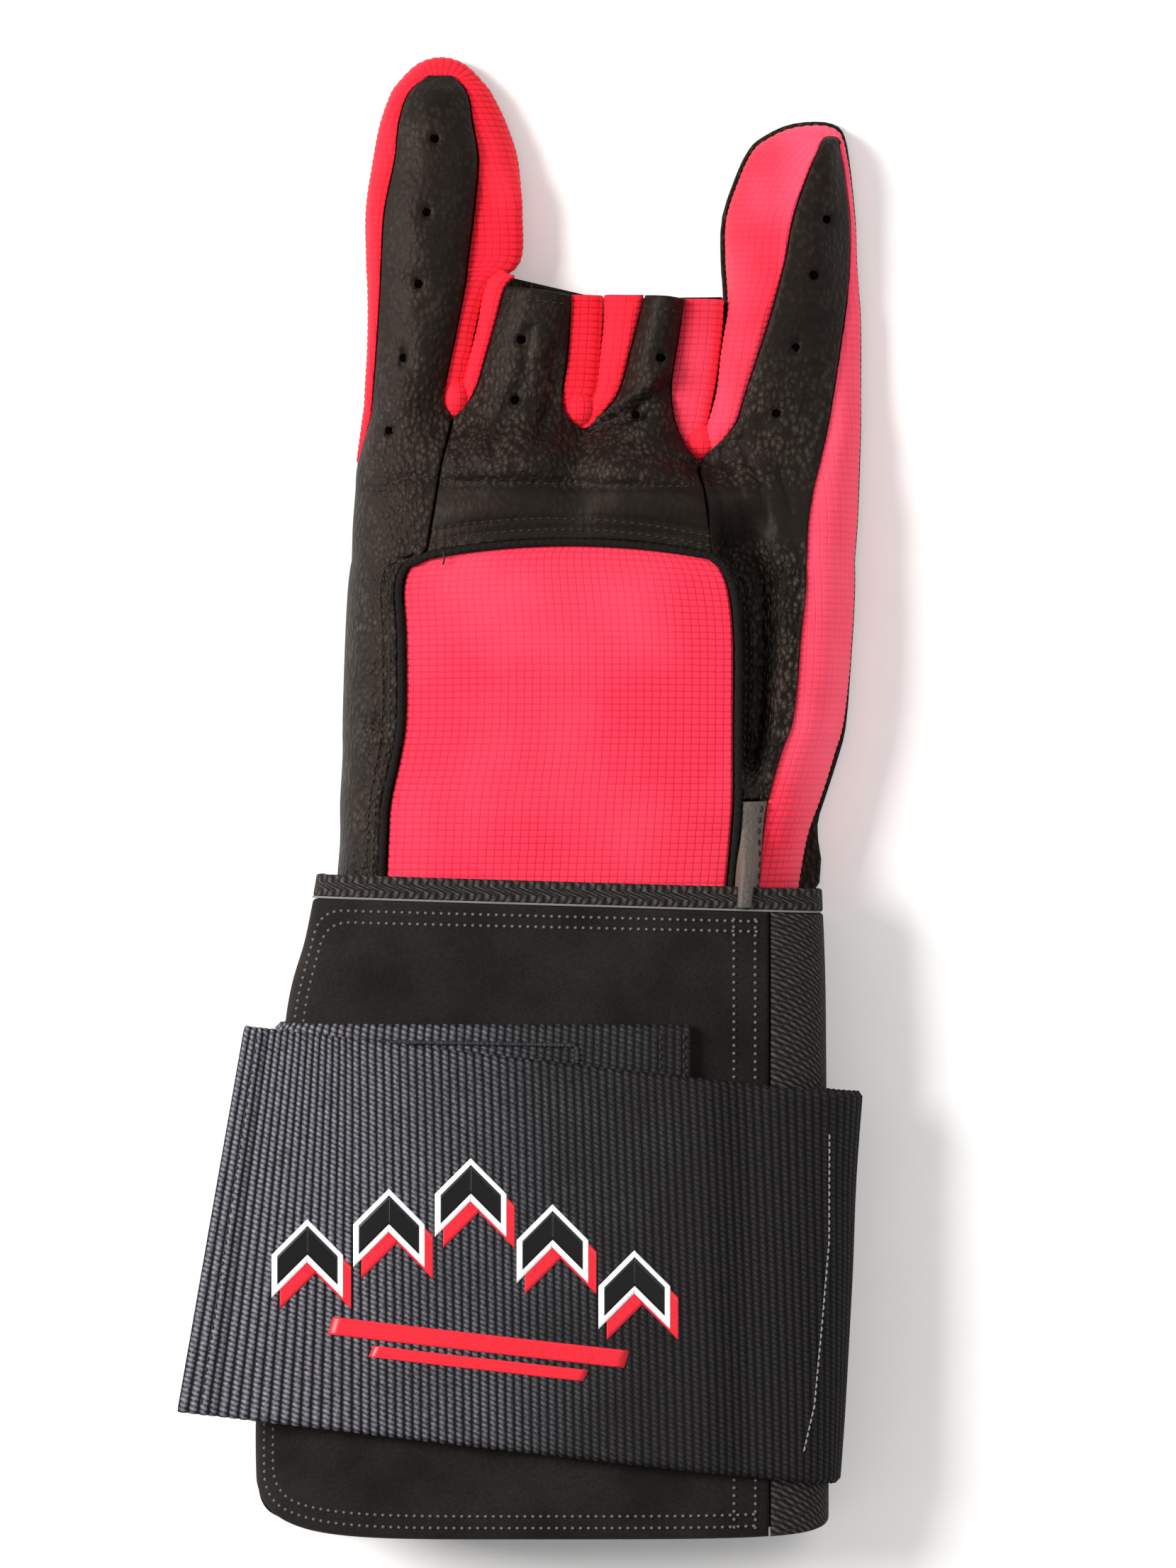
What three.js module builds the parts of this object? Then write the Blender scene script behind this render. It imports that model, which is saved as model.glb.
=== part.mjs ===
// A right-hand bowling glove lying palm down, with the back of the hand up.
// X runs from the index side to the little side, Y from the wrist to the fingertips, Z is up.
// Every sewn piece is a grid of outer points that becomes a wall, built inward along its normals.

import * as THREE from 'three';

// Hand and fingers, in millimetres. Y is measured from the seam between the hand and the cuff.
const HAND_WIDTH = 100;
const HAND_LENGTH = 93;
const HAND_HEIGHT = 24;
const INDEX_LENGTH = 68;
const LITTLE_LENGTH = 65;
const HALF_FINGER_LENGTH = 26;
const FINGER_HEIGHT = 16;

// The deep fold beside the window: its depth, and its place and width as shares of the leather there.
const VALLEY_DEPTH = 8;
const VALLEY_PLACE = 0.36;
const VALLEY_WIDTH = 0.2;
const VALLEY_FADE = [0.66, 0.84];

// Cuff and closure.
const CUFF_LENGTH = 128;
const CUFF_HEIGHT = 26.5;
const CUFF_LAP = 2.5;
const BAND_WIDTH = 4.5;
const CORNER_ROUND = 11;
const WIDE_STRAP_WIDTH = 77;
const WIDE_STRAP_REACH = 61;
const WIDE_STRAP_CENTRE = 72;
const WIDE_STRAP_SLOPE = 0.115;
const WIDE_STRAP_SKEW = 0.17;
const SIDE_SLACK = 5;
const FREE_END_SAG = 1.5;
const STEP_LENGTH = 10;
const UNDER_STRAP_WIDTH = 74;
const UNDER_STRAP_CENTRE = 64;
const UNDER_STRAP_REACH = 33;

// Materials' thicknesses and clearances.
const LEATHER = 1.5;
const KNIT = 1.4;
const SUEDE = 1.8;
const WEBBING = 1.7;
const BINDING_WIDTH = 1.3;
const BINDING_HEIGHT = 2.2;
const BINDING_CLEARANCE = 0.15;
const KNIT_SINK = 0.9;
const THUMB_HOLE_LENGTH = 38;
const THUMB_HOLE_WIDTH = 24;
const THUMB_HOLE_MARGIN = 7.5;
const THUMB_HOLE_ALONG = 0.45;
const GAP = 0.3;

// Heights that the pieces share.
const SOLE_TOP = LEATHER + GAP;
const STRAP_LAYER = WEBBING + GAP;
const CUFF_BASE = Math.max(STRAP_LAYER, SOLE_TOP);

// How round an arch is across the hand: 2 is an ellipse, larger is squarer.
const HAND_ARCH = 3;
const CUFF_ARCH = 3;
const CUFF_FLOOR_ARCH = 5;
const FLAT_CUT = 0.5;

// Sections across the hand: Y as a share of HAND_LENGTH, X as shares of HAND_WIDTH,
// height as a share of HAND_HEIGHT.
// along, outer left, left edge of window or seam, right edge of window or seam, red seam, outer right, height
const HAND_ROWS = [
  [-0.02, -0.370, -0.280, 0.410, 0.465, 0.545, 1.00],
  [0.10, -0.365, -0.275, 0.420, 0.475, 0.565, 1.00],
  [0.18, -0.365, -0.270, 0.425, 0.485, 0.590, 1.00],
  [0.28, -0.360, -0.250, 0.425, 0.510, 0.620, 0.99],
  [0.36, -0.360, -0.240, 0.425, 0.535, 0.640, 0.98],
  [0.53, -0.355, -0.240, 0.425, 0.550, 0.655, 0.95],
  [0.63, -0.350, -0.245, 0.415, 0.560, 0.660, 0.92],
  [0.68, -0.345, -0.230, 0.395, 0.560, 0.660, 0.90],
  [0.70, -0.342, -0.195, 0.375, 0.562, 0.660, 0.89],
  [0.77, -0.340, -0.180, 0.368, 0.565, 0.665, 0.86],
  [0.84, -0.335, -0.170, 0.360, 0.575, 0.668, 0.82],
  [0.905, -0.330, -0.160, 0.352, 0.590, 0.670, 0.77],
];
const LITTLE_WEB = 0.905;
const WINDOW_TOP = 0.70;
const WINDOW_CROWN = 0.03;
const TAB_TOP = 0.18;

// Sections of the closed fingers: Y as a share of the finger's length from its web,
// X as shares of HAND_WIDTH, heights as shares of FINGER_HEIGHT.
// along, outer left, leather left, leather right, outer right, left seam, right seam, crown
const INDEX_ROWS = [
  [0.00, -0.320, -0.305, -0.140, -0.135, 0.35, 0.72, 0.28],
  [0.06, -0.315, -0.300, -0.155, -0.125, 0.45, 0.75, 0.27],
  [0.25, -0.310, -0.290, -0.130, -0.105, 0.60, 0.75, 0.25],
  [0.39, -0.310, -0.284, -0.112, -0.088, 0.66, 0.75, 0.25],
  [0.46, -0.312, -0.282, -0.107, -0.030, 0.68, 0.72, 0.27],
  [0.60, -0.314, -0.276, -0.095, -0.005, 0.68, 0.68, 0.28],
  [0.75, -0.300, -0.256, -0.087, -0.010, 0.64, 0.64, 0.28],
  [0.86, -0.286, -0.248, -0.098, -0.032, 0.58, 0.58, 0.25],
  [0.94, -0.268, -0.220, -0.116, -0.058, 0.50, 0.50, 0.18],
  [0.98, -0.253, -0.188, -0.133, -0.085, 0.45, 0.45, 0.08],
];
// Round the tip: top X, top along, bottom X, bottom along, seam height
const INDEX_TIP = [
  [-0.172, 0.995, -0.212, 1.04, 0.42],
  [-0.160, 1.000, -0.165, 1.06, 0.42],
  [-0.148, 0.995, -0.118, 1.04, 0.42],
];
const LITTLE_ROWS = [
  [0.00, 0.355, 0.352, 0.590, 0.670, 0.80, 0.85, 0.10],
  [0.10, 0.372, 0.415, 0.605, 0.672, 0.88, 0.75, 0.12],
  [0.23, 0.392, 0.445, 0.620, 0.672, 0.92, 0.65, 0.12],
  [0.43, 0.408, 0.487, 0.640, 0.672, 0.92, 0.52, 0.14],
  [0.53, 0.408, 0.505, 0.648, 0.668, 0.90, 0.43, 0.16],
  [0.62, 0.404, 0.520, 0.652, 0.664, 0.87, 0.38, 0.18],
  [0.75, 0.406, 0.536, 0.652, 0.661, 0.82, 0.36, 0.18],
  [0.88, 0.434, 0.565, 0.642, 0.652, 0.72, 0.36, 0.15],
  [0.95, 0.456, 0.585, 0.633, 0.644, 0.60, 0.38, 0.10],
  [0.985, 0.478, 0.600, 0.626, 0.638, 0.52, 0.42, 0.05],
];
const LITTLE_TIP = [
  [0.607, 0.995, 0.530, 1.025, 0.46],
  [0.614, 1.000, 0.590, 1.035, 0.46],
  [0.621, 0.995, 0.625, 1.020, 0.44],
];

// Sections of the half fingers, from the web to the open end.
// left X, left along, right X, right along, outer left, outer right, left seam, right seam, crown
const MIDDLE_ROWS = [
  [-0.140, 0.00, 0.105, -0.05, -0.128, 0.112, 0.72, 0.75, 0.33],
  [-0.112, 0.10, 0.085, 0.06, -0.118, 0.118, 0.75, 0.78, 0.28],
  [-0.092, 0.24, 0.081, 0.20, -0.112, 0.138, 0.78, 0.80, 0.24],
  [-0.075, 0.46, 0.090, 0.44, -0.098, 0.145, 0.78, 0.80, 0.24],
  [-0.056, 0.72, 0.095, 0.70, -0.082, 0.150, 0.78, 0.80, 0.24],
  [-0.036, 1.00, 0.097, 0.93, -0.064, 0.152, 0.78, 0.80, 0.24],
];
const RING_ROWS = [
  [0.135, -0.05, 0.352, -0.34, 0.124, 0.346, 0.75, 0.80, 0.33],
  [0.165, 0.06, 0.322, -0.20, 0.132, 0.350, 0.78, 0.78, 0.28],
  [0.190, 0.20, 0.302, -0.02, 0.150, 0.362, 0.80, 0.80, 0.24],
  [0.208, 0.44, 0.296, 0.24, 0.158, 0.375, 0.80, 0.80, 0.24],
  [0.224, 0.68, 0.309, 0.58, 0.164, 0.388, 0.80, 0.80, 0.24],
  [0.240, 0.93, 0.322, 0.90, 0.168, 0.392, 0.80, 0.80, 0.24],
];
// Bottom of each V between two fingers: top X, top Y, bottom X, bottom Y, seam height
const FIRST_WEB = [-0.138, 0.998, -0.131, 1.012, 0.70];
const SECOND_WEB = [0.120, 0.975, 0.118, 0.992, 0.72];
const THIRD_WEB = [0.354, 0.903, 0.352, 0.920, 0.72];

// Sections of the cuff from its seam to its opening: share of CUFF_LENGTH, X shares, height share.
const CUFF_ROWS = [
  [-0.03, -0.405, 0.592, 1.00],
  [0.08, -0.430, 0.597, 1.03],
  [0.20, -0.465, 0.600, 1.06],
  [0.50, -0.500, 0.602, 1.09],
  [0.80, -0.525, 0.605, 1.10],
  [1.00, -0.525, 0.605, 1.10],
];

const black = { color: 0x32302c, roughness: 0.55, metalness: 0 };
const red = { color: 0xe23a4c, roughness: 0.85, metalness: 0 };
const greyLeather = { color: 0x57534c, roughness: 0.5, metalness: 0 };
const suede = { color: 0x24231f, roughness: 0.9, metalness: 0 };
const twill = { color: 0x3e3d3b, roughness: 0.85, metalness: 0 };
const webbing = { color: 0x44444a, roughness: 0.8, metalness: 0 };

const glove = new THREE.Group();

const mix = (a, b, t) => a + (b - a) * t;

// Smooth ramp from 0 at low to 1 at high.
function ramp(low, high, value) {
  const t = Math.max(0, Math.min(1, (value - low) / (high - low)));
  return t * t * (3 - 2 * t);
}

// A power that keeps the sign, for superellipses.
const signedPower = (value, power) => Math.sign(value) * Math.abs(value) ** power;

// All columns of a table at t, from 0 at its first row to 1 at its last, on a Catmull-Rom curve.
function rowAt(rows, t) {
  const place = Math.max(0, Math.min(1, t)) * (rows.length - 1);
  const i = Math.min(Math.floor(place), rows.length - 2);
  const f = place - i;
  const before = rows[Math.max(i - 1, 0)];
  const after = rows[Math.min(i + 2, rows.length - 1)];
  return rows[i].map((b, column) => {
    const a = before[column];
    const c = rows[i + 1][column];
    const d = after[column];
    const bend = 2 * a - 5 * b + 4 * c - d + (3 * b - a - 3 * c + d) * f;
    return b + 0.5 * f * (c - a + f * bend);
  });
}

// The same, found by the value of the first column instead of by t.
function rowAlong(rows, along) {
  let low = 0;
  let high = 1;
  for (let i = 0; i < 24; i += 1) {
    const middle = (low + high) / 2;
    if (rowAt(rows, middle)[0] < along) low = middle;
    else high = middle;
  }
  return rowAt(rows, low);
}

// Height of the back of the hand above the floor at a place given in shares of the hand.
function backHeight(x, along) {
  const row = rowAlong(HAND_ROWS, along);
  const middle = (row[1] + row[5]) / 2;
  const half = (row[5] - row[1]) / 2;
  const s = Math.min(1, Math.abs(x - middle) / half);
  const rise = (1 - s ** HAND_ARCH) ** (1 / HAND_ARCH);
  return SOLE_TOP + (row[6] * HAND_HEIGHT - SOLE_TOP) * rise;
}

const handY = (along) => along * HAND_LENGTH;
const indexY = (along) => HAND_LENGTH + along * INDEX_LENGTH;
const littleY = (along) => LITTLE_WEB * HAND_LENGTH + along * LITTLE_LENGTH;
const halfY = (along) => HAND_LENGTH + along * HALF_FINGER_LENGTH;
const handX = (share) => share * HAND_WIDTH;

// A grid of points from a function of two parameters, each from 0 to 1.
function grid(rows, columns, point) {
  return Array.from({ length: rows + 1 }, (_, i) =>
    Array.from({ length: columns + 1 }, (_, j) => point(i / rows, j / columns)));
}

// Length of the line that a function of one parameter draws.
function lineLength(point) {
  const steps = 8;
  let length = 0;
  for (let i = 0; i < steps; i += 1) length += point(i / steps).distanceTo(point((i + 1) / steps));
  return length;
}

// A grid on a surface, kept the given distances back from its edges, so that neighbours stay apart.
function panel(rows, columns, point, { left = 0, right = 0, start = 0, end = 0 }) {
  const inset = (distance, u) => (typeof distance === 'function' ? distance(u) : distance);
  return grid(rows, columns, (rowShare, columnShare) => {
    const long = lineLength((u) => point(u, columnShare));
    const u = mix(start / long, 1 - end / long, rowShare);
    const wide = lineLength((v) => point(u, v));
    return point(u, mix(inset(left, u) / wide, 1 - inset(right, u) / wide, columnShare));
  });
}

// Makes a closed wall from one or more grids that share edge points.
function wall(name, finish, thickness, ...grids) {
  const outer = [];
  const faces = [];
  const known = new Map();
  const indexOf = (p) => {
    const key = [p.x, p.y, p.z].map((value) => Math.round(value * 1e3)).join();
    if (!known.has(key)) {
      known.set(key, outer.length);
      outer.push(p);
    }
    return known.get(key);
  };
  const addFace = (a, b, c) => {
    if (a !== b && b !== c && c !== a) faces.push([a, b, c]);
  };
  for (const points of grids) {
    for (let i = 0; i < points.length - 1; i += 1) {
      for (let j = 0; j < points[i].length - 1; j += 1) {
        const a = indexOf(points[i][j]);
        const b = indexOf(points[i][j + 1]);
        const c = indexOf(points[i + 1][j + 1]);
        const d = indexOf(points[i + 1][j]);
        addFace(a, b, c);
        addFace(a, c, d);
      }
    }
  }
  const normals = outer.map(() => new THREE.Vector3());
  for (const [a, b, c] of faces) {
    const normal = outer[b].clone().sub(outer[a]).cross(outer[c].clone().sub(outer[a]));
    [a, b, c].forEach((i) => normals[i].add(normal));
  }
  const floor = Math.min(...outer.map((p) => p.z));
  const inner = outer.map((p, i) => p.clone().addScaledVector(normals[i].normalize(), -thickness));
  inner.forEach((p) => p.setZ(Math.max(p.z, floor)));
  const count = outer.length;
  const edges = new Map();
  for (const [a, b, c] of faces) {
    [[a, b], [b, c], [c, a]].forEach((edge) => edges.set(edge.join(), edge));
  }
  const all = [];
  for (const [a, b, c] of faces) all.push(a, b, c, a + count, c + count, b + count);
  for (const [a, b] of edges.values()) {
    if (!edges.has(`${b},${a}`)) all.push(b, a, a + count, b, a + count, b + count);
  }
  addPiece(name, finish, [...outer, ...inner], all);
}

function addPiece(name, finish, points, triangles) {
  const geometry = new THREE.BufferGeometry();
  const numbers = new Float32Array(points.flatMap((p) => [p.x, p.y, p.z]));
  geometry.setAttribute('position', new THREE.BufferAttribute(numbers, 3));
  geometry.setIndex(triangles);
  const mesh = new THREE.Mesh(geometry, new THREE.MeshStandardMaterial(finish));
  mesh.name = name;
  glove.add(mesh);
}

// Last section of a closed finger's leather, between the outer two of the places round its tip.
const tipSection = ([[leftX], [, along, , , seam], [rightX]], y) =>
  [y(along), handX(leftX), seam * FINGER_HEIGHT, handX(rightX), seam * FINGER_HEIGHT, 0, 0];

// Index leather: in the hand it turns down round the side to the sole, on the finger it lies on top.
// Its sections hold y, left x, left z, right x, right z, crown and how far the left side turns down.
const indexSections = [
  ...HAND_ROWS.map(([along, outerLeft, leftEdge]) =>
    [handY(along), handX(outerLeft), SOLE_TOP, handX(leftEdge), backHeight(leftEdge, along), 0, 1]),
  ...INDEX_ROWS.map(([along, , left, right, , leftSeam, rightSeam, crown], i) =>
    [indexY(along), handX(left), leftSeam * FINGER_HEIGHT, handX(right), rightSeam * FINGER_HEIGHT,
      crown * FINGER_HEIGHT, Math.max(0, 1 - (i + 1) / 3)]),
  tipSection(INDEX_TIP, indexY),
];

function sectionPoint([y, leftX, leftZ, rightX, rightZ, crown, turn], v) {
  const roundX = 1 - Math.cos(v * Math.PI / 2);
  const roundZ = Math.sin(v * Math.PI / 2) ** 0.8;
  const x = mix(leftX, rightX, mix(v, roundX, turn));
  const z = mix(leftZ, rightZ, mix(v, roundZ, turn)) + crown * 4 * v * (1 - v);
  return new THREE.Vector3(x, y, Math.max(z, SOLE_TOP));
}

const windowShare = HAND_ROWS.findIndex(([along]) => along >= WINDOW_TOP) / (indexSections.length - 1);
const bindingTrim = BINDING_WIDTH / 2 + GAP + BINDING_CLEARANCE;
wall('index_leather', black, LEATHER, panel(42, 7, (u, v) => sectionPoint(rowAt(indexSections, u), v), {
  right: (u) => (u <= windowShare ? bindingTrim : GAP),
}));

// Little leather: from the tab and the window to the tip, with the deep fold beside the window.
const littleHandRows = HAND_ROWS.filter(([along]) => along < LITTLE_WEB);
const littleSections = [
  ...littleHandRows.map(([along, , , rightEdge, redSeam]) =>
    [handY(along), handX(rightEdge), backHeight(rightEdge, along), handX(redSeam),
      backHeight(redSeam, along), 0, 0]),
  ...LITTLE_ROWS.map(([along, , left, right, , leftSeam, rightSeam, crown]) =>
    [littleY(along), handX(left), leftSeam * FINGER_HEIGHT, handX(right), rightSeam * FINGER_HEIGHT,
      crown * FINGER_HEIGHT, 0]),
  tipSection(LITTLE_TIP, littleY),
];

// The fold is a groove across the piece that fades out at both ends of the window.
function foldDepth(along, v) {
  const ends = ramp(TAB_TOP + 0.02, TAB_TOP + 0.12, along) * (1 - ramp(...VALLEY_FADE, along));
  return VALLEY_DEPTH * ends * Math.exp(-(((v - VALLEY_PLACE) / VALLEY_WIDTH) ** 2));
}

const littleShare = (along) => HAND_ROWS.findIndex((row) => row[0] >= along) / (littleSections.length - 1);
const tabShare = littleShare(TAB_TOP);
const littleWindowShare = littleShare(WINDOW_TOP);
wall('little_leather', black, LEATHER, panel(36, 9, (u, v) => {
  const point = sectionPoint(rowAt(littleSections, mix(tabShare, 1, u)), v);
  point.z -= foldDepth(point.y / HAND_LENGTH, v);
  return point;
}, {
  left: (u) => (mix(tabShare, 1, u) <= littleWindowShare ? bindingTrim : GAP),
  start: 3 * GAP,
}));

// Grey tab: continues the little leather down to the cuff.
wall('leather_tab', greyLeather, LEATHER, panel(6, 3, (u, v) =>
  sectionPoint(rowAt(littleSections, u * tabShare), v), { left: bindingTrim, end: GAP }));

// The window: its side edges come from the hand's sections and its top edge is crowned.
function windowPoint(u, v, sink = 0) {
  const [y, , , leftX] = rowAt(indexSections, u * windowShare);
  const [, rightX] = rowAt(littleSections, u * littleWindowShare);
  const x = mix(leftX, rightX, v);
  const along = y / HAND_LENGTH + WINDOW_CROWN * (1 - (2 * v - 1) ** 2) * u ** 4;
  return new THREE.Vector3(x, handY(along), backHeight(x / HAND_WIDTH, along) - sink);
}

wall('back_knit', red, KNIT, panel(11, 11, (u, v) => windowPoint(u, v, KNIT_SINK), {
  left: bindingTrim,
  right: bindingTrim + GAP,
  end: bindingTrim,
}));

// Binding: a small rounded section carried up the left edge, over the top and down the right edge.
const bindingPath = [
  ...Array.from({ length: 16 }, (_, i) => [i / 16, 0]),
  ...Array.from({ length: 15 }, (_, i) => [1, i / 14]),
  ...Array.from({ length: 16 }, (_, i) => [1 - (i + 1) / 16, 1]),
].map(([u, v]) => windowPoint(u, v));
// Corners of the section: across the path, up from the leather's surface
const bindingSection = [[-0.5, 0.12], [-0.5, 0.36], [0, 0.5], [0.5, 0.36], [0.5, 0.12]];

function addBinding() {
  const points = [];
  const triangles = [];
  const sides = bindingSection.length;
  const up = new THREE.Vector3(0, 0, 1);
  bindingPath.forEach((p, i) => {
    const next = bindingPath[Math.min(i + 1, bindingPath.length - 1)];
    const last = bindingPath[Math.max(i - 1, 0)];
    const across = next.clone().sub(last).cross(up).normalize();
    bindingSection.forEach(([side, rise]) => {
      points.push(p.clone().addScaledVector(across, side * BINDING_WIDTH)
        .addScaledVector(up, rise * BINDING_HEIGHT));
    });
  });
  for (let i = 0; i < bindingPath.length - 1; i += 1) {
    for (let j = 0; j < sides; j += 1) {
      const a = i * sides + j;
      const b = i * sides + (j + 1) % sides;
      triangles.push(a, b, a + sides, b, b + sides, a + sides);
    }
  }
  const end = (bindingPath.length - 1) * sides;
  for (let j = 1; j < sides - 1; j += 1) {
    triangles.push(0, j + 1, j, end, end + j, end + j + 1);
  }
  addPiece('window_binding', black, points, triangles);
}
addBinding();

// Middle leather: a knuckle field from the window's top edge to the webs, then two half fingers.
const FIELD_COLUMNS = 12;
const FIELD_SPLIT = 6;

function halfFingerPoint(rows, u, v) {
  const [leftX, leftAlong, rightX, rightAlong, , , leftSeam, rightSeam, crown] = rowAt(rows, u);
  const lift = (mix(leftSeam, rightSeam, v) + crown * 4 * v * (1 - v)) * FINGER_HEIGHT;
  return new THREE.Vector3(handX(mix(leftX, rightX, v)), halfY(mix(leftAlong, rightAlong, v)), lift);
}

// The two fingers meet in one point at the bottom of their web.
function webPoint(v) {
  const split = FIELD_SPLIT / FIELD_COLUMNS;
  const onMiddle = v <= split;
  const finger = onMiddle ? halfFingerPoint(MIDDLE_ROWS, 0, v / split)
    : halfFingerPoint(RING_ROWS, 0, (v - split) / (1 - split));
  const [x, along, , , seam] = SECOND_WEB;
  const web = new THREE.Vector3(handX(x), handY(along), seam * FINGER_HEIGHT);
  const nearness = Math.max(0, 1 - Math.abs(v - split) * FIELD_COLUMNS);
  return finger.lerp(web, nearness);
}

// The field is blended between four lines: the seams to its left and right, the window and the webs.
const webShare = HAND_ROWS.length / (indexSections.length - 1);
const littleWebShare = littleHandRows.length / (littleSections.length - 1);
const leftSeam = (u) => {
  const [y, , , x, z] = rowAt(indexSections, mix(windowShare, webShare, u));
  return new THREE.Vector3(x, y, z);
};
const rightSeam = (u) => {
  const [y, x, z] = rowAt(littleSections, mix(littleWindowShare, littleWebShare, u));
  return new THREE.Vector3(x, y, z);
};
const windowLine = (v) => windowPoint(1, v);

function fieldPoint(u, v) {
  const sides = leftSeam(u).lerp(rightSeam(u), v);
  const ends = windowLine(v).lerp(webPoint(v), u);
  const corners = leftSeam(0).lerp(rightSeam(0), v).lerp(leftSeam(1).lerp(rightSeam(1), v), u);
  return sides.add(ends).sub(corners);
}

const field = panel(8, FIELD_COLUMNS, fieldPoint, { left: GAP / 2, right: 1.5 * GAP, start: bindingTrim });
const middleBack = grid(7, FIELD_SPLIT, (u, v) => halfFingerPoint(MIDDLE_ROWS, u, v));
const ringBack = grid(7, FIELD_COLUMNS - FIELD_SPLIT, (u, v) => halfFingerPoint(RING_ROWS, u, v));
middleBack[0].forEach((p, j) => p.copy(field[field.length - 1][j]));
ringBack[0].forEach((p, j) => p.copy(field[field.length - 1][j + FIELD_SPLIT]));
wall('middle_leather', black, LEATHER, field, middleBack, ringBack);

// A side strip stands on the sole's outline and tucks under the leather's edge.
// Its stations hold top x, y, z and bottom x, y; between them it bulges as a quarter of an ellipse.
const tuck = LEATHER + GAP;

function stripPoint(stations, u, v) {
  const [topX, topY, topZ, bottomX, bottomY] = rowAt(stations, u);
  const turn = (1 - v) * Math.PI / 2;
  const out = Math.sin(turn);
  const down = 1 - Math.cos(turn);
  const top = Math.max(topZ - tuck, SOLE_TOP + GAP);
  return new THREE.Vector3(mix(topX, bottomX, out), mix(topY, bottomY, out), mix(top, SOLE_TOP, down));
}

const fingerStation = (row, y, side) => {
  const [along, outerLeft, left, right, outerRight, leftSeam, rightSeam] = row;
  return side === 'left'
    ? [handX(left), y(along), leftSeam * FINGER_HEIGHT, handX(outerLeft), y(along)]
    : [handX(right), y(along), rightSeam * FINGER_HEIGHT, handX(outerRight), y(along)];
};
const tipStation = ([topX, topAlong, bottomX, bottomAlong, seam], y) =>
  [handX(topX), y(topAlong), seam * FINGER_HEIGHT, handX(bottomX), y(bottomAlong)];
const halfStation = (row, side) => {
  const [leftX, leftAlong, rightX, rightAlong, outerLeft, outerRight, leftSeam, rightSeam] = row;
  return side === 'left'
    ? [handX(leftX), halfY(leftAlong), leftSeam * FINGER_HEIGHT, handX(outerLeft), halfY(leftAlong)]
    : [handX(rightX), halfY(rightAlong), rightSeam * FINGER_HEIGHT, handX(outerRight), halfY(rightAlong)];
};
const webStation = ([topX, topAlong, bottomX, bottomAlong, seam]) =>
  [handX(topX), handY(topAlong), seam * FINGER_HEIGHT, handX(bottomX), handY(bottomAlong)];
const handStation = (row) => {
  const [along, , , , redSeam, outerRight] = row;
  return [handX(redSeam), handY(along), backHeight(redSeam, along), handX(outerRight), handY(along)];
};
const reversed = (rows) => [...rows].reverse();

const indexStations = [
  ...INDEX_ROWS.map((row) => fingerStation(row, indexY, 'left')),
  ...INDEX_TIP.map((row) => tipStation(row, indexY)),
  ...reversed(INDEX_ROWS.slice(1)).map((row) => fingerStation(row, indexY, 'right')),
  webStation(FIRST_WEB),
  ...MIDDLE_ROWS.slice(1).map((row) => halfStation(row, 'left')),
];
const middleStations = [
  ...reversed(MIDDLE_ROWS.slice(1)).map((row) => halfStation(row, 'right')),
  webStation(SECOND_WEB),
  ...RING_ROWS.slice(1).map((row) => halfStation(row, 'left')),
];
const littleStations = [
  ...reversed(RING_ROWS.slice(1)).map((row) => halfStation(row, 'right')),
  webStation(THIRD_WEB),
  ...LITTLE_ROWS.slice(1).map((row) => fingerStation(row, littleY, 'left')),
  ...LITTLE_TIP.map((row) => tipStation(row, littleY)),
  ...reversed(LITTLE_ROWS).map((row) => fingerStation(row, littleY, 'right')),
  ...reversed(HAND_ROWS.slice(0, -1)).map(handStation),
];
wall('index_fourchette', red, KNIT, grid(50, 4, (u, v) => stripPoint(indexStations, u, v)));
wall('middle_fourchette', red, KNIT, grid(20, 4, (u, v) => stripPoint(middleStations, u, v)));
wall('little_fourchette', red, KNIT, grid(60, 4, (u, v) => stripPoint(littleStations, u, v)));

// Sole: one flat piece with the outline on which the side strips stand, and the thumb hole.
function bottomLine(stations, steps) {
  return Array.from({ length: steps + 1 }, (_, i) => {
    const [, , , x, y] = rowAt(stations, i / steps);
    return new THREE.Vector2(x, y);
  });
}
const leftLine = HAND_ROWS.map(([along, outerLeft]) => new THREE.Vector2(handX(outerLeft), handY(along)));
const soleOutline = [
  ...leftLine,
  ...bottomLine(indexStations, 50),
  ...bottomLine(middleStations, 20),
  ...bottomLine(littleStations, 60),
];
// Points on a straight stretch are left out, because a triangulation would skip them.
const bends = soleOutline.filter((p, i) => {
  const last = soleOutline.at(i - 1);
  const next = soleOutline[(i + 1) % soleOutline.length];
  return Math.abs(p.clone().sub(last).cross(next.clone().sub(p))) > 1e-4;
});
const sole = new THREE.Shape(bends);
const thumbHole = new THREE.Path();
const palmLeft = handX(rowAlong(HAND_ROWS, THUMB_HOLE_ALONG)[1]);
thumbHole.absellipse(
  palmLeft + THUMB_HOLE_MARGIN + THUMB_HOLE_WIDTH / 2,
  handY(THUMB_HOLE_ALONG),
  THUMB_HOLE_WIDTH / 2,
  THUMB_HOLE_LENGTH / 2,
  0,
  Math.PI * 2,
  false,
);
sole.holes.push(thumbHole);
const soleGeometry = new THREE.ExtrudeGeometry(sole, { depth: LEATHER, bevelEnabled: false });
const soleMesh = new THREE.Mesh(soleGeometry, new THREE.MeshStandardMaterial(black));
soleMesh.name = 'palm_leather';
glove.add(soleMesh);

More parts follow.
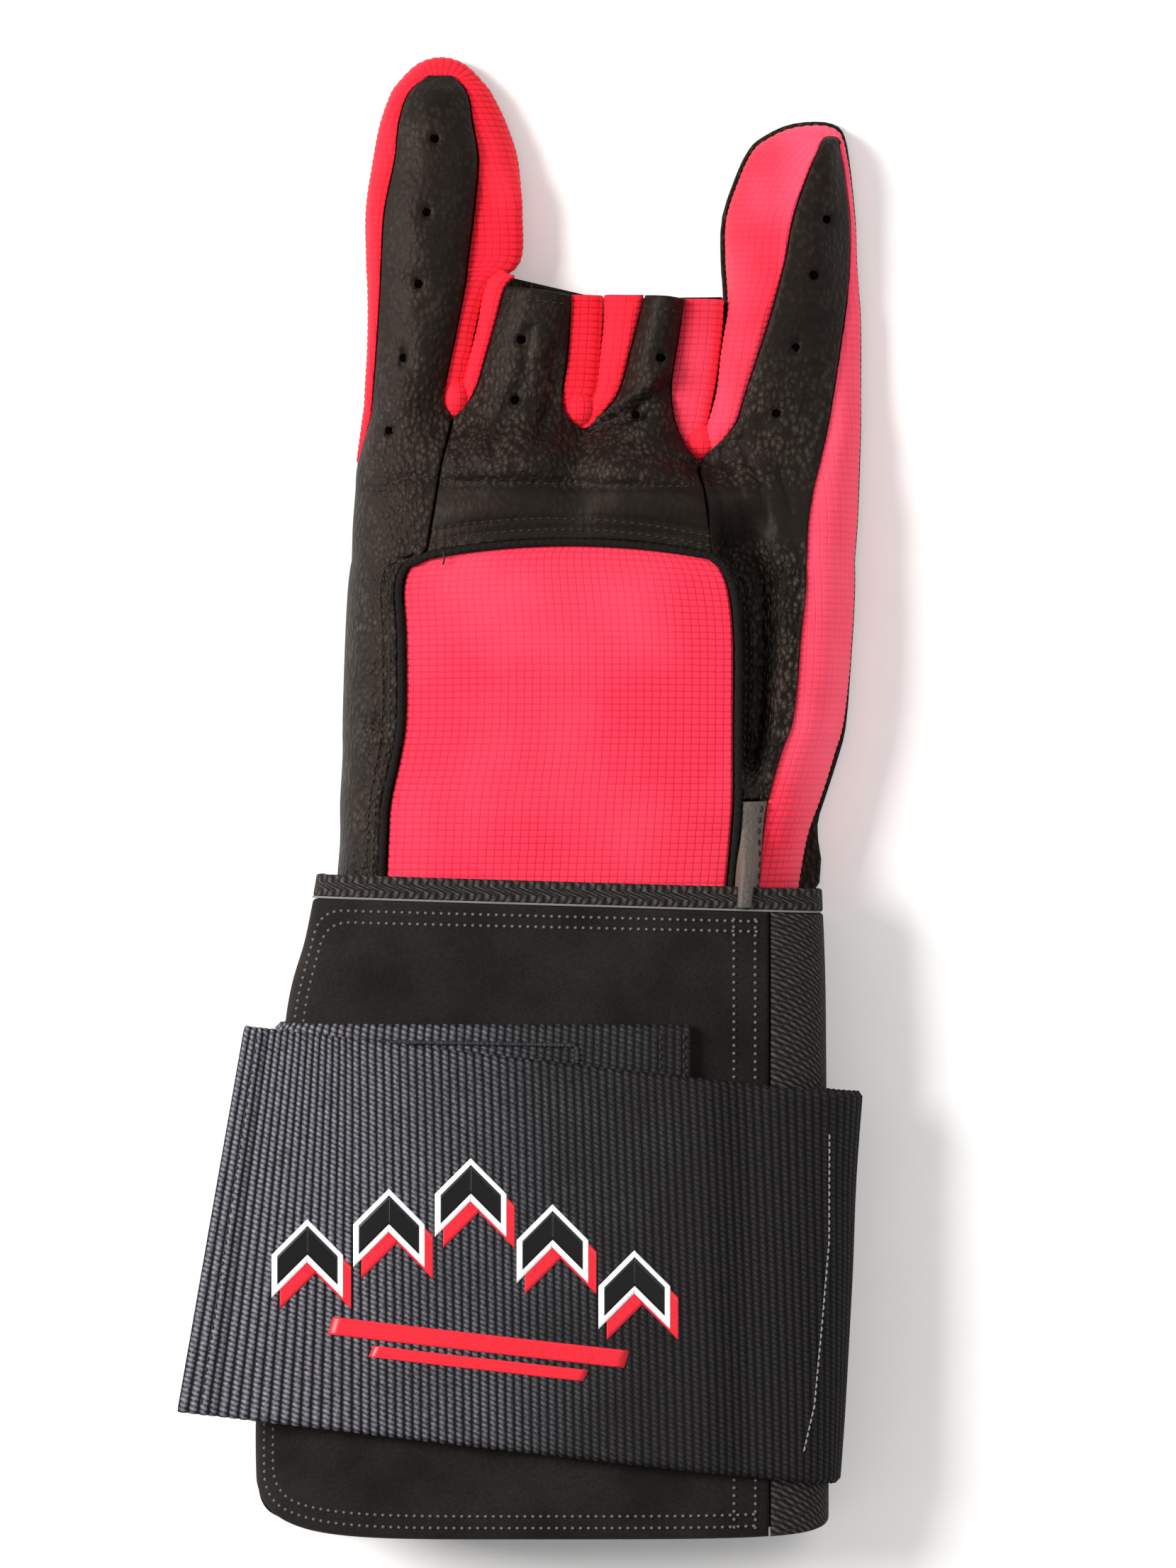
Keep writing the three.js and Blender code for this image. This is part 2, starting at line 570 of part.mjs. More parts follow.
// The cuff is a tube. Round it, t runs from the middle of the underside (0) by the right side (0.25),
// the top (0.5) and the left side (0.75) back to the underside (1).
function cuffRing(t, y, offset) {
  const [, left, right, height] = rowAlong(CUFF_ROWS, -y / CUFF_LENGTH);
  const middle = handX(left + right) / 2;
  const half = handX(right - left) / 2;
  const tall = height * CUFF_HEIGHT - CUFF_BASE;
  const at = (place) => {
    const angle = (place - 0.25) * 2 * Math.PI;
    const arch = Math.sin(angle) < 0 ? CUFF_FLOOR_ARCH : CUFF_ARCH;
    const z = CUFF_BASE + Math.max(0, tall / 2 * (1 + signedPower(Math.sin(angle), 2 / arch)) - FLAT_CUT);
    return new THREE.Vector2(middle + half * signedPower(Math.cos(angle), 2 / arch), z);
  };
  const step = 0.004;
  const along = at(t + step).sub(at(t - step)).normalize();
  const point = at(t);
  return new THREE.Vector3(point.x + along.y * offset, y, point.y - along.x * offset);
}

// Place round the top of the cuff where it reaches a given x.
function topPlace(x, y) {
  const [, left, right] = rowAlong(CUFF_ROWS, -y / CUFF_LENGTH);
  const s = (x - handX(left + right) / 2) / (handX(right - left) / 2);
  return 0.25 + Math.acos(signedPower(Math.max(-1, Math.min(1, s)), CUFF_ARCH / 2)) / (2 * Math.PI);
}

// Places round the cuff of the seams on its underside and of the ends of the band, and the X share
// of the seam between the panel and the elastic.
const FLOOR_RIGHT = 0.10;
const FLOOR_LEFT = 0.90;
const BAND_RIGHT = 0.20;
const BAND_LEFT = 0.80;
const ELASTIC_EDGE = 0.488;
const seamInRing = 0.002;
const bandEnd = CUFF_LAP - BAND_WIDTH;

// The opening edge is drawn back where it turns down at the two sides.
function openingY(t) {
  const side = Math.abs(Math.sin((t - 0.5) * 2 * Math.PI));
  const round = t > 0.5 ? CORNER_ROUND : CORNER_ROUND / 4;
  return -CUFF_LENGTH + round * side ** 8;
}

// A piece of the cuff from startY to the opening, between two places that may change along it.
function cuffPiece(name, finish, rows, columns, from, to, startY) {
  wall(name, finish, SUEDE, grid(rows, columns, (u, v) => {
    const y = mix(startY, -CUFF_LENGTH, u);
    const t = mix(from(y) + seamInRing, to(y) - seamInRing, v) % 1;
    return cuffRing(t, mix(startY, openingY(t), u), 0);
  }));
}
const elasticPlace = (y) => topPlace(handX(ELASTIC_EDGE), y);
wall('cuff_band', twill, SUEDE, grid(1, 24, (u, v) =>
  cuffRing(mix(BAND_RIGHT, BAND_LEFT, v), mix(CUFF_LAP, bandEnd, u), 0)));
cuffPiece('cuff_panel', suede, 10, 20, elasticPlace, () => FLOOR_LEFT, bandEnd - GAP);
cuffPiece('cuff_elastic', twill, 10, 9, () => FLOOR_RIGHT, elasticPlace, bandEnd - GAP);
const undersideStart = handY(HAND_ROWS[0][0]) - GAP;
cuffPiece('cuff_underside', suede, 8, 8, () => FLOOR_LEFT, () => 1 + FLOOR_RIGHT, undersideStart);

// Under strap: from the middle of the underside round the left side and over the panel.
const underFrom = (y) => topPlace(UNDER_STRAP_REACH, y);
wall('under_strap', webbing, WEBBING, grid(4, 22, (u, v) => {
  const y = -UNDER_STRAP_CENTRE + mix(0.5, -0.5, u) * UNDER_STRAP_WIDTH;
  const t = mix(underFrom(y), 1 - seamInRing, v);
  return cuffRing(t, y, STRAP_LAYER);
}));

// Wide strap: from the underside round the right side, over the top and past the left side.
const leaveX = handX(-0.32);
const RING_SHARE = 0.85;
wall('wide_strap', webbing, WEBBING, grid(5, 34, (u, v) => {
  const w = mix(0.5, -0.5, u) * WIDE_STRAP_WIDTH;
  const yAt = (x) => -WIDE_STRAP_CENTRE + w - WIDE_STRAP_SLOPE * x;
  const leave = topPlace(leaveX, yAt(leaveX));
  const t = mix(seamInRing, leave, Math.min(1, v / RING_SHARE));
  const roundRing = cuffRing(t, yAt(0), STRAP_LAYER);
  const stepStart = UNDER_STRAP_REACH + STRAP_LAYER;
  const lap = t > 0.25 ? 1 - ramp(stepStart, stepStart + STEP_LENGTH, roundRing.x) : 0;
  const point = cuffRing(t, yAt(roundRing.x), STRAP_LAYER * (1 + lap));
  point.x += SIDE_SLACK * (1 - u) * Math.sin(Math.PI * ramp(0.08, 0.42, t)) ** 2;
  if (v > RING_SHARE) {
    const free = (v - RING_SHARE) / (1 - RING_SHARE);
    point.x = mix(point.x, -WIDE_STRAP_REACH + WIDE_STRAP_SKEW * w, free);
    point.y = yAt(point.x);
    point.z -= FREE_END_SAG * free ** 2;
  }
  return point;
}));

// The origin is at the middle of the underside of the whole glove.
const bounds = new THREE.Box3().setFromObject(glove);
const centre = bounds.getCenter(new THREE.Vector3());
glove.position.set(-centre.x, -centre.y, -bounds.min.z);

export default glove;
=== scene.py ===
"""A right-hand bowling glove lying palm down, seen from straight above.

Shapes are worked out in millimetres from the seam between hand and cuff, X from the index side to the
little side, Y from the wrist to the fingertips, and moved into the frame's metres at the end.
"""

import bmesh
import bpy
import numpy as np
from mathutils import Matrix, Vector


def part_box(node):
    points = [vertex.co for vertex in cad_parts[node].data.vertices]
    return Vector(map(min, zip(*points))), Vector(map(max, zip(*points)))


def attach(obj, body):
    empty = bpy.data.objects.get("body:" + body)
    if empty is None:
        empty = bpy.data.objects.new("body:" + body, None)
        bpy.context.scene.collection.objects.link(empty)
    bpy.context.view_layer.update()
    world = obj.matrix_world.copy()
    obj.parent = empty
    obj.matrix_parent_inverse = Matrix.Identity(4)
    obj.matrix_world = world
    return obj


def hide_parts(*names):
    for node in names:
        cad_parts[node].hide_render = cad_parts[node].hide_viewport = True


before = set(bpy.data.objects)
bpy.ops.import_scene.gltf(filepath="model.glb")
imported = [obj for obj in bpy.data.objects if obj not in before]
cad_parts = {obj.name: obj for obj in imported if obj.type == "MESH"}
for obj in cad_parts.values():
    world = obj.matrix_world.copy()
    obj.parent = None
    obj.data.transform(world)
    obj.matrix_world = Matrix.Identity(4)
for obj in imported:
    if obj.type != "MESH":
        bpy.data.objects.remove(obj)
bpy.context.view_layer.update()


# Floor, light and camera
# A pale table top, two large soft lamps and an even white surround.
# The camera looks straight down, from far enough that the high cuff isn't drawn larger than the flat tips.

def linear(hex_colour):
    """sRGB hex colour as linear red, green, blue and alpha."""
    channels = [int(hex_colour[i:i + 2], 16) / 255 for i in (1, 3, 5)]
    return [c / 12.92 if c <= 0.04045 else ((c + 0.055) / 1.055) ** 2.4 for c in channels] + [1.0]


def darker(hex_colour, share):
    """A share of a colour's light, with full alpha."""
    return [c * share for c in linear(hex_colour)[:3]] + [1.0]


def add_node(tree, kind, inputs=None, **settings):
    """Adds a node, sets it, and sets or links each input: a socket is linked, a value is set."""
    made = tree.nodes.new(kind)
    for key, value in settings.items():
        setattr(made, key, value)
    for key, value in (inputs or {}).items():
        if isinstance(value, bpy.types.NodeSocket):
            tree.links.new(value, made.inputs[key])
        else:
            made.inputs[key].default_value = value
    return made


def calc(tree, operation, *values, **settings):
    """A math node on values and sockets: its output socket."""
    inputs = dict(enumerate(values))
    return add_node(tree, "ShaderNodeMath", inputs, operation=operation, **settings).outputs[0]


def blend(tree, factor, a, b):
    """A mix of two colours: its output socket."""
    inputs = {"Factor": factor, "A": a, "B": b}
    return add_node(tree, "ShaderNodeMix", inputs, data_type="RGBA").outputs["Result"]


def new_material(name):
    """An empty node material: (material, its tree, its surface shader)."""
    made = bpy.data.materials.new(name)
    made.use_nodes = True
    tree = made.node_tree
    tree.nodes.clear()
    shader = add_node(tree, "ShaderNodeBsdfPrincipled")
    add_node(tree, "ShaderNodeOutputMaterial", {"Surface": shader.outputs["BSDF"]})
    return made, tree, shader


# Painted board: matt, a faint mottle of the paint roller
board, tree, shader = new_material("painted_board")
place = add_node(tree, "ShaderNodeTexCoord").outputs["Object"]
mottle = add_node(tree, "ShaderNodeTexNoise", {"Vector": place, "Scale": 60.0, "Detail": 4.0})
tint = blend(tree, mottle.outputs["Fac"], linear("#f4f2ee"), linear("#faf9f6"))
tree.links.new(tint, shader.inputs["Base Color"])
shader.inputs["Roughness"].default_value = 0.7

FLOOR_HALF = 1.5
floor_mesh = bpy.data.meshes.new("table_top")
floor_mesh.from_pydata(
    [(-FLOOR_HALF, -FLOOR_HALF, 0), (FLOOR_HALF, -FLOOR_HALF, 0),
     (FLOOR_HALF, FLOOR_HALF, 0), (-FLOOR_HALF, FLOOR_HALF, 0)], [], [(0, 1, 2, 3)])
floor_mesh.materials.append(board)
table_top = bpy.data.objects.new("table_top", floor_mesh)
bpy.context.scene.collection.objects.link(table_top)

surround = bpy.data.worlds.new("surround")
bpy.context.scene.world = surround
surround.use_nodes = True
surround.node_tree.nodes["Background"].inputs["Color"].default_value = linear("#fbfbff")
surround.node_tree.nodes["Background"].inputs["Strength"].default_value = 0.5


def soft_lamp(name, at, size, watts):
    """A square lamp at a place in metres, turned to the glove."""
    lamp = bpy.data.lights.new(name, "AREA")
    lamp.size = size
    lamp.energy = watts
    made = bpy.data.objects.new(name, lamp)
    made.location = at
    made.rotation_euler = (-made.location).to_track_quat("-Z", "Y").to_euler()
    bpy.context.scene.collection.objects.link(made)


soft_lamp("key_lamp", (-0.95, 0.25, 0.75), 0.5, 24.0)
soft_lamp("fill_lamp", (0.6, 0.3, 1.1), 0.9, 6.0)
bpy.context.scene.view_settings.view_transform = "Standard"

VIEW_HEIGHT = 0.3102
VIEW_CENTRE = (0.0131, 0.0017)
GLOVE_LEVEL = 0.015
lens = bpy.data.cameras.new("camera")
lens.sensor_fit = "VERTICAL"
lens.sensor_height = 36
lens.lens = 180
camera = bpy.data.objects.new("camera", lens)
camera.location = (*VIEW_CENTRE, GLOVE_LEVEL + VIEW_HEIGHT * lens.lens / lens.sensor_height)
bpy.context.scene.collection.objects.link(camera)
bpy.context.scene.camera = camera


# Index leather
# Goatskin cut as one piece from the cuff to the tip of the index finger. It is turned down round the
# side of the hand, lies on top of the finger, and is pierced with five vent holes.

HAND_WIDTH = 100.0
HAND_LENGTH = 93.0
HAND_HEIGHT = 24.0
INDEX_LENGTH = 68.0
FINGER_HEIGHT = 16.0
LEATHER = 1.5
GAP = 0.3
SOLE_TOP = LEATHER + GAP
BINDING_WIDTH = 1.3
BINDING_TRIM = BINDING_WIDTH / 2 + GAP
# along, outer left, left edge of window or seam, right edge of window or seam, red seam, outer right, height
HAND_ROWS = np.array([
    [-0.02, -0.370, -0.280, 0.410, 0.465, 0.545, 1.00],
    [0.10, -0.365, -0.275, 0.420, 0.475, 0.565, 1.00],
    [0.18, -0.365, -0.270, 0.425, 0.485, 0.590, 1.00],
    [0.28, -0.360, -0.250, 0.425, 0.510, 0.620, 0.99],
    [0.36, -0.360, -0.240, 0.425, 0.535, 0.640, 0.98],
    [0.53, -0.355, -0.240, 0.425, 0.550, 0.655, 0.95],
    [0.63, -0.350, -0.245, 0.415, 0.560, 0.660, 0.92],
    [0.68, -0.345, -0.230, 0.395, 0.560, 0.660, 0.90],
    [0.70, -0.342, -0.195, 0.375, 0.562, 0.660, 0.89],
    [0.77, -0.340, -0.180, 0.368, 0.565, 0.665, 0.86],
    [0.84, -0.335, -0.170, 0.360, 0.575, 0.668, 0.82],
    [0.905, -0.330, -0.160, 0.352, 0.590, 0.670, 0.77],
])
# along, outer left, leather left, leather right, outer right, left seam, right seam, crown
INDEX_ROWS = np.array([
    [0.00, -0.320, -0.305, -0.140, -0.135, 0.35, 0.72, 0.28],
    [0.06, -0.315, -0.300, -0.155, -0.125, 0.45, 0.75, 0.27],
    [0.25, -0.310, -0.290, -0.130, -0.105, 0.60, 0.75, 0.25],
    [0.39, -0.310, -0.284, -0.112, -0.072, 0.66, 0.75, 0.25],
    [0.46, -0.312, -0.282, -0.107, -0.010, 0.68, 0.72, 0.27],
    [0.60, -0.314, -0.276, -0.095, -0.005, 0.68, 0.68, 0.28],
    [0.75, -0.300, -0.256, -0.087, -0.010, 0.64, 0.64, 0.28],
    [0.86, -0.286, -0.248, -0.098, -0.032, 0.58, 0.58, 0.25],
    [0.94, -0.268, -0.232, -0.107, -0.058, 0.50, 0.50, 0.18],
    [0.98, -0.253, -0.210, -0.123, -0.076, 0.45, 0.45, 0.08],
])
# Round the tip: top X, top along, bottom X, bottom along, seam height
INDEX_TIP = np.array([
    [-0.190, 0.995, -0.212, 1.04, 0.42],
    [-0.165, 1.003, -0.165, 1.06, 0.42],
    [-0.140, 0.995, -0.118, 1.04, 0.42],
])
WINDOW_TOP_ROW = 8
TAB_TOP_ROW = 2


def mix(a, b, t):
    """The value t of the way from a to b."""
    return a + (b - a) * t


def ramp(low, high, value):
    """Smooth ramp from 0 at low to 1 at high."""
    t = np.clip((value - low) / (high - low), 0, 1)
    return t * t * (3 - 2 * t)


def bump(value, centre, width):
    """A bell curve, 1 at the centre and about a third of that one width away."""
    return np.exp(-((value - centre) / width) ** 2)


def row_at(rows, t):
    """Every column of a table at t, from 0 at its first row to 1 at its last, on a Catmull-Rom curve."""
    place = np.clip(t, 0, 1) * (len(rows) - 1)
    i = np.minimum(place.astype(int), len(rows) - 2)
    f = (place - i)[..., None]
    a, b = rows[np.maximum(i - 1, 0)], rows[i]
    c, d = rows[i + 1], rows[np.minimum(i + 2, len(rows) - 1)]
    bend = 2 * a - 5 * b + 4 * c - d + (3 * b - a - 3 * c + d) * f
    return b + 0.5 * f * (c - a + f * bend)


def row_along(rows, along):
    """The same, found by the value of the first column, by halving the range 24 times."""
    low, high = np.zeros(np.shape(along)), np.ones(np.shape(along))
    for _ in range(24):
        middle = (low + high) / 2
        short = row_at(rows, middle)[..., 0] < along
        low, high = np.where(short, middle, low), np.where(short, high, middle)
    return row_at(rows, low)


def back_height(x, along):
    """Height of the back of the hand: a cubic superellipse across it. x and along are shares."""
    row = row_along(HAND_ROWS, along)
    middle, half = (row[..., 1] + row[..., 5]) / 2, (row[..., 5] - row[..., 1]) / 2
    s = np.minimum(1, np.abs(x - middle) / half)
    return SOLE_TOP + (row[..., 6] * HAND_HEIGHT - SOLE_TOP) * (1 - s ** 3) ** (1 / 3)


def section_point(section, v):
    """Point on a cross section y, left x, left z, right x, right z, crown, turn. Its left side turns down
    as a quarter round where turn is 1, and a parabola of height crown is added."""
    y, left_x, left_z, right_x, right_z, crown, turn = np.moveaxis(section, -1, 0)
    round_x, round_z = 1 - np.cos(v * np.pi / 2), np.sin(v * np.pi / 2) ** 0.8
    x = mix(left_x, right_x, mix(v, round_x, turn))
    z = mix(left_z, right_z, mix(v, round_z, turn)) + crown * 4 * v * (1 - v)
    return np.stack([x, y, z], -1)


def soft_noise(x, y, size, seed):
    """Smooth random heights from -1 to 1: random values on a square lattice, joined by smooth ramps."""
    table = np.random.default_rng(seed).uniform(-1, 1, (64, 64))
    x, y = x / size, y / size
    i, j = np.floor(x).astype(int), np.floor(y).astype(int)
    f, g = x - i, y - j
    f, g = f * f * (3 - 2 * f), g * g * (3 - 2 * g)
    low = mix(table[i % 64, j % 64], table[(i + 1) % 64, j % 64], f)
    high = mix(table[i % 64, (j + 1) % 64], table[(i + 1) % 64, (j + 1) % 64], f)
    return mix(low, high, g)


def near_line(x, y, line, width):
    """Bell curve of the distance to a line through the given places."""
    nearest = np.full(np.shape(x), np.inf)
    for (ax, ay), (bx, by) in zip(line[:-1], line[1:]):
        length = (bx - ax) ** 2 + (by - ay) ** 2
        t = np.clip(((x - ax) * (bx - ax) + (y - ay) * (by - ay)) / length, 0, 1)
        nearest = np.minimum(nearest, np.hypot(x - ax - t * (bx - ax), y - ay - t * (by - ay)))
    return bump(nearest, 0, width)


def line_length(point):
    """Length of a line drawn by a function of one number, over eight steps, for many lines at once."""
    points = np.stack([point(step / 8) for step in range(9)])
    return np.linalg.norm(np.diff(points, axis=0), axis=-1).sum(0)


def laid_grid(surface, rows, columns, left=0.0, right=0.0, start=0.0, end=0.0):
    """Grid of places (u, v) on a surface, kept the given distances in mm inside its edges, with closer
    lines at the edges. Also gives the distance in mm of each place to each edge."""
    def shares(count):
        near_edge = np.array([0, 0.15, 0.4, 0.75])
        return np.concatenate([near_edge, np.arange(1, count), (count - near_edge)[::-1]]) / count

    share_u, share_v = np.meshgrid(shares(rows), shares(columns), indexing="ij")
    long = line_length(lambda t: surface(np.full_like(share_v, t), share_v))
    u = mix(start / long, 1 - end / long, share_u)
    wide = line_length(lambda t: surface(u, np.full_like(u, t)))
    left_in = left(u) if callable(left) else left
    right_in = right(u) if callable(right) else right
    v = mix(left_in / wide, 1 - right_in / wide, share_v)
    distances = {
        "left": share_v * wide, "right": (1 - share_v) * wide,
        "start": share_u * long, "end": (1 - share_u) * long}
    return u, v, distances


def grid_normals(points):
    """Unit normals of a grid whose rows and columns run so that the outside is up."""
    normals = np.cross(np.gradient(points, axis=1), np.gradient(points, axis=0))
    return normals / np.maximum(np.linalg.norm(normals, axis=-1, keepdims=True), 1e-9)


def turned_edges(points, distances, edges, radius):
    """Lowers the points near the named edges on a quarter circle, as a turned or skived edge lies."""
    drop = np.zeros(points.shape[:2])
    for edge in edges:
        t = np.clip(1 - distances[edge] / radius, 0, 1)
        drop = np.maximum(drop, radius * (1 - np.sqrt(1 - t * t)))
    return points - grid_normals(points) * drop[..., None]


ORIGIN = np.array(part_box("palm_leather")[0]) * 1000 - (
    HAND_ROWS[0, 1] * HAND_WIDTH, HAND_ROWS[0, 0] * HAND_LENGTH, 0)


def finish_piece(name, points, faces, material, face_uv=None, grain=None):
    """Makes the mesh object from points in mm, with smooth faces, and lets it ride on the glove. grain is
    how strongly the leather's grain stands out at each point, from 0 to 1; it also sets how light the grain's
    tops are painted, in places as a painted highlight."""
    mesh = bpy.data.meshes.new(name)
    mesh.from_pydata(((points + ORIGIN) / 1000).tolist(), [], [list(f) for f in faces])
    if face_uv is not None:
        layer = mesh.uv_layers.new(name="cloth")
        layer.data.foreach_set("uv", np.ascontiguousarray(face_uv, dtype=np.float32).ravel())
    if grain is not None:
        strength = mesh.attributes.new("grain", "FLOAT", "POINT")
        strength.data.foreach_set("value", np.ascontiguousarray(grain, dtype=np.float32))
    mesh.polygons.foreach_set("use_smooth", np.ones(len(mesh.polygons), bool))
    mesh.materials.append(material)
    made = bpy.data.objects.new(name, mesh)
    bpy.context.scene.collection.objects.link(made)
    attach(made, "root")
    return made


def sewn_wall(name, grids, thickness, material, floor=None, grain=None):
    """Closed wall from one or more grids of (points, uv) that share edge points: the outer points, the
    same points moved inward along the normals, and a rim between them. grain is a function of x and y."""
    points, places, quads = [], [], []
    count = 0
    for grid_points, uv in grids:
        rows, columns = grid_points.shape[:2]
        index = np.arange(rows * columns).reshape(rows, columns) + count
        quads.append(np.stack(
            [index[:-1, :-1], index[:-1, 1:], index[1:, 1:], index[1:, :-1]], -1).reshape(-1, 4))
        points.append(grid_points.reshape(-1, 3))
        places.append(uv.reshape(-1, 2))
        count += rows * columns
    points, places, quads = np.concatenate(points), np.concatenate(places), np.concatenate(quads)
    face_uv = places[quads]
    _, first, inverse = np.unique(
        np.round(points, 3), axis=0, return_index=True, return_inverse=True)
    points, quads = points[first], inverse.reshape(-1)[quads]
    normals = np.zeros_like(points)
    flat = np.cross(points[quads[:, 2]] - points[quads[:, 0]], points[quads[:, 3]] - points[quads[:, 1]])
    for corner in range(4):
        np.add.at(normals, quads[:, corner], flat)
    normals /= np.maximum(np.linalg.norm(normals, axis=1, keepdims=True), 1e-9)
    inner = points - normals * thickness
    inner[:, 2] = np.maximum(inner[:, 2], points[:, 2].min() if floor is None else floor)
    total = len(points)
    edges = np.concatenate([quads[:, [i, (i + 1) % 4]] for i in range(4)])
    edge_uv = np.concatenate([face_uv[:, [i, (i + 1) % 4]] for i in range(4)])
    keys, reverse = edges[:, 0] * total + edges[:, 1], edges[:, 1] * total + edges[:, 0]
    rim = ~np.isin(keys, reverse)
    a, b = edges[rim].T
    faces = np.concatenate([
        quads, quads[:, ::-1] + total, np.stack([b, a, a + total, b + total], 1)])
    face_uv = np.concatenate([face_uv, face_uv[:, ::-1], edge_uv[rim][:, [1, 0, 0, 1]]])
    everywhere = np.concatenate([points, inner])
    strength = grain(everywhere[:, 0], everywhere[:, 1]) if grain else None
    return finish_piece(name, everywhere, faces, material, face_uv, strength)


index_sections = np.array([
    *([row[0] * HAND_LENGTH, row[1] * HAND_WIDTH, SOLE_TOP, row[2] * HAND_WIDTH,
       float(back_height(row[2], row[0])), 0, 1] for row in HAND_ROWS),
    *([HAND_LENGTH + row[0] * INDEX_LENGTH, row[2] * HAND_WIDTH, row[5] * FINGER_HEIGHT,
       row[3] * HAND_WIDTH, row[6] * FINGER_HEIGHT, row[7] * FINGER_HEIGHT, max(0, 1 - (i + 1) / 3)]
      for i, row in enumerate(INDEX_ROWS)),
    [HAND_LENGTH + INDEX_TIP[1, 1] * INDEX_LENGTH, INDEX_TIP[0, 0] * HAND_WIDTH,
     INDEX_TIP[1, 4] * FINGER_HEIGHT, INDEX_TIP[2, 0] * HAND_WIDTH, INDEX_TIP[1, 4] * FINGER_HEIGHT, 0, 0],
])
window_share = WINDOW_TOP_ROW / (len(index_sections) - 1)

# The stitch line over the knuckles, and a crease across the side of the hand, as places in mm
INDEX_KNUCKLE_LINE = [(-16, 80), (-19, 81), (-22, 80.8), (-25, 80), (-27.5, 78.5), (-31, 78.5)]
SIDE_CREASE = [(-38, 31.6), (-32, 32.0), (-28, 31.4)]
INDEX_VENTS = [(-17.4, 148.0), (-19.0, 133.4), (-20.6, 119.2), (-23.6, 104.6), (-26.4, 90.2)]
VENT_RADIUS = 0.8
VENT_DEPTH = 1.0
DIMPLE_RADIUS = 2.4
DIMPLE_DEPTH = 0.35


def vent_dents(x, y, vents):
    """A pierced hole: the leather is pressed down and in round it."""
    dents = np.zeros(np.shape(x))
    for vent_x, vent_y in vents:
        far = np.hypot(x - vent_x, y - vent_y)
        pierced = 1 - ramp(VENT_RADIUS * 0.7, VENT_RADIUS * 1.5, far)
        dents += DIMPLE_DEPTH * bump(far, 0, DIMPLE_RADIUS) + VENT_DEPTH * pierced
    return dents


# Two stitch rows run beside the window, at these distances from its tape in mm
WINDOW_ROWS = [1.9, 3.9]
STITCH_PITCH = 1.7
THREAD = 0.42


def row_pucker(distance, along):
    """The two rows draw the leather in: shallow grooves, a little deeper at each stitch."""
    pull = 0.65 + 0.35 * np.sin(2 * np.pi * along / STITCH_PITCH)
    return sum(0.34 * bump(distance, BINDING_TRIM + row, 0.6) for row in WINDOW_ROWS) * pull


def leather_folds(x, y, seed):
    """Soft waves in worn leather: two sizes of noise, longer along the hand than across it."""
    return 0.45 * soft_noise(x, y * 0.5, 9, seed) + 0.16 * soft_noise(x, y * 0.7, 3.2, seed + 1)


def index_surface(u, v):
    """The sections of hand and finger, with folds, creases, vent holes and the pull of the stitches."""
    section = row_at(index_sections, u)
    points = section_point(section, v)
    x, y = points[..., 0], points[..., 1]
    inside = ramp(0.05, 0.3, v) * ramp(0, 0.06, 1 - v) * ramp(0, 0.03, 1 - u)
    relief = leather_folds(x, y, 11) * inside
    relief -= 0.55 * near_line(x, y, INDEX_KNUCKLE_LINE, 1.0)
    relief -= 0.9 * near_line(x, y, SIDE_CREASE, 0.8) - 0.35 * near_line(x, y + 2.2, SIDE_CREASE, 1.3)
    relief -= vent_dents(x, y, INDEX_VENTS)
    relief -= row_pucker(section[..., 3] - x, y) * (u < window_share)
    points[..., 2] += relief
    return points


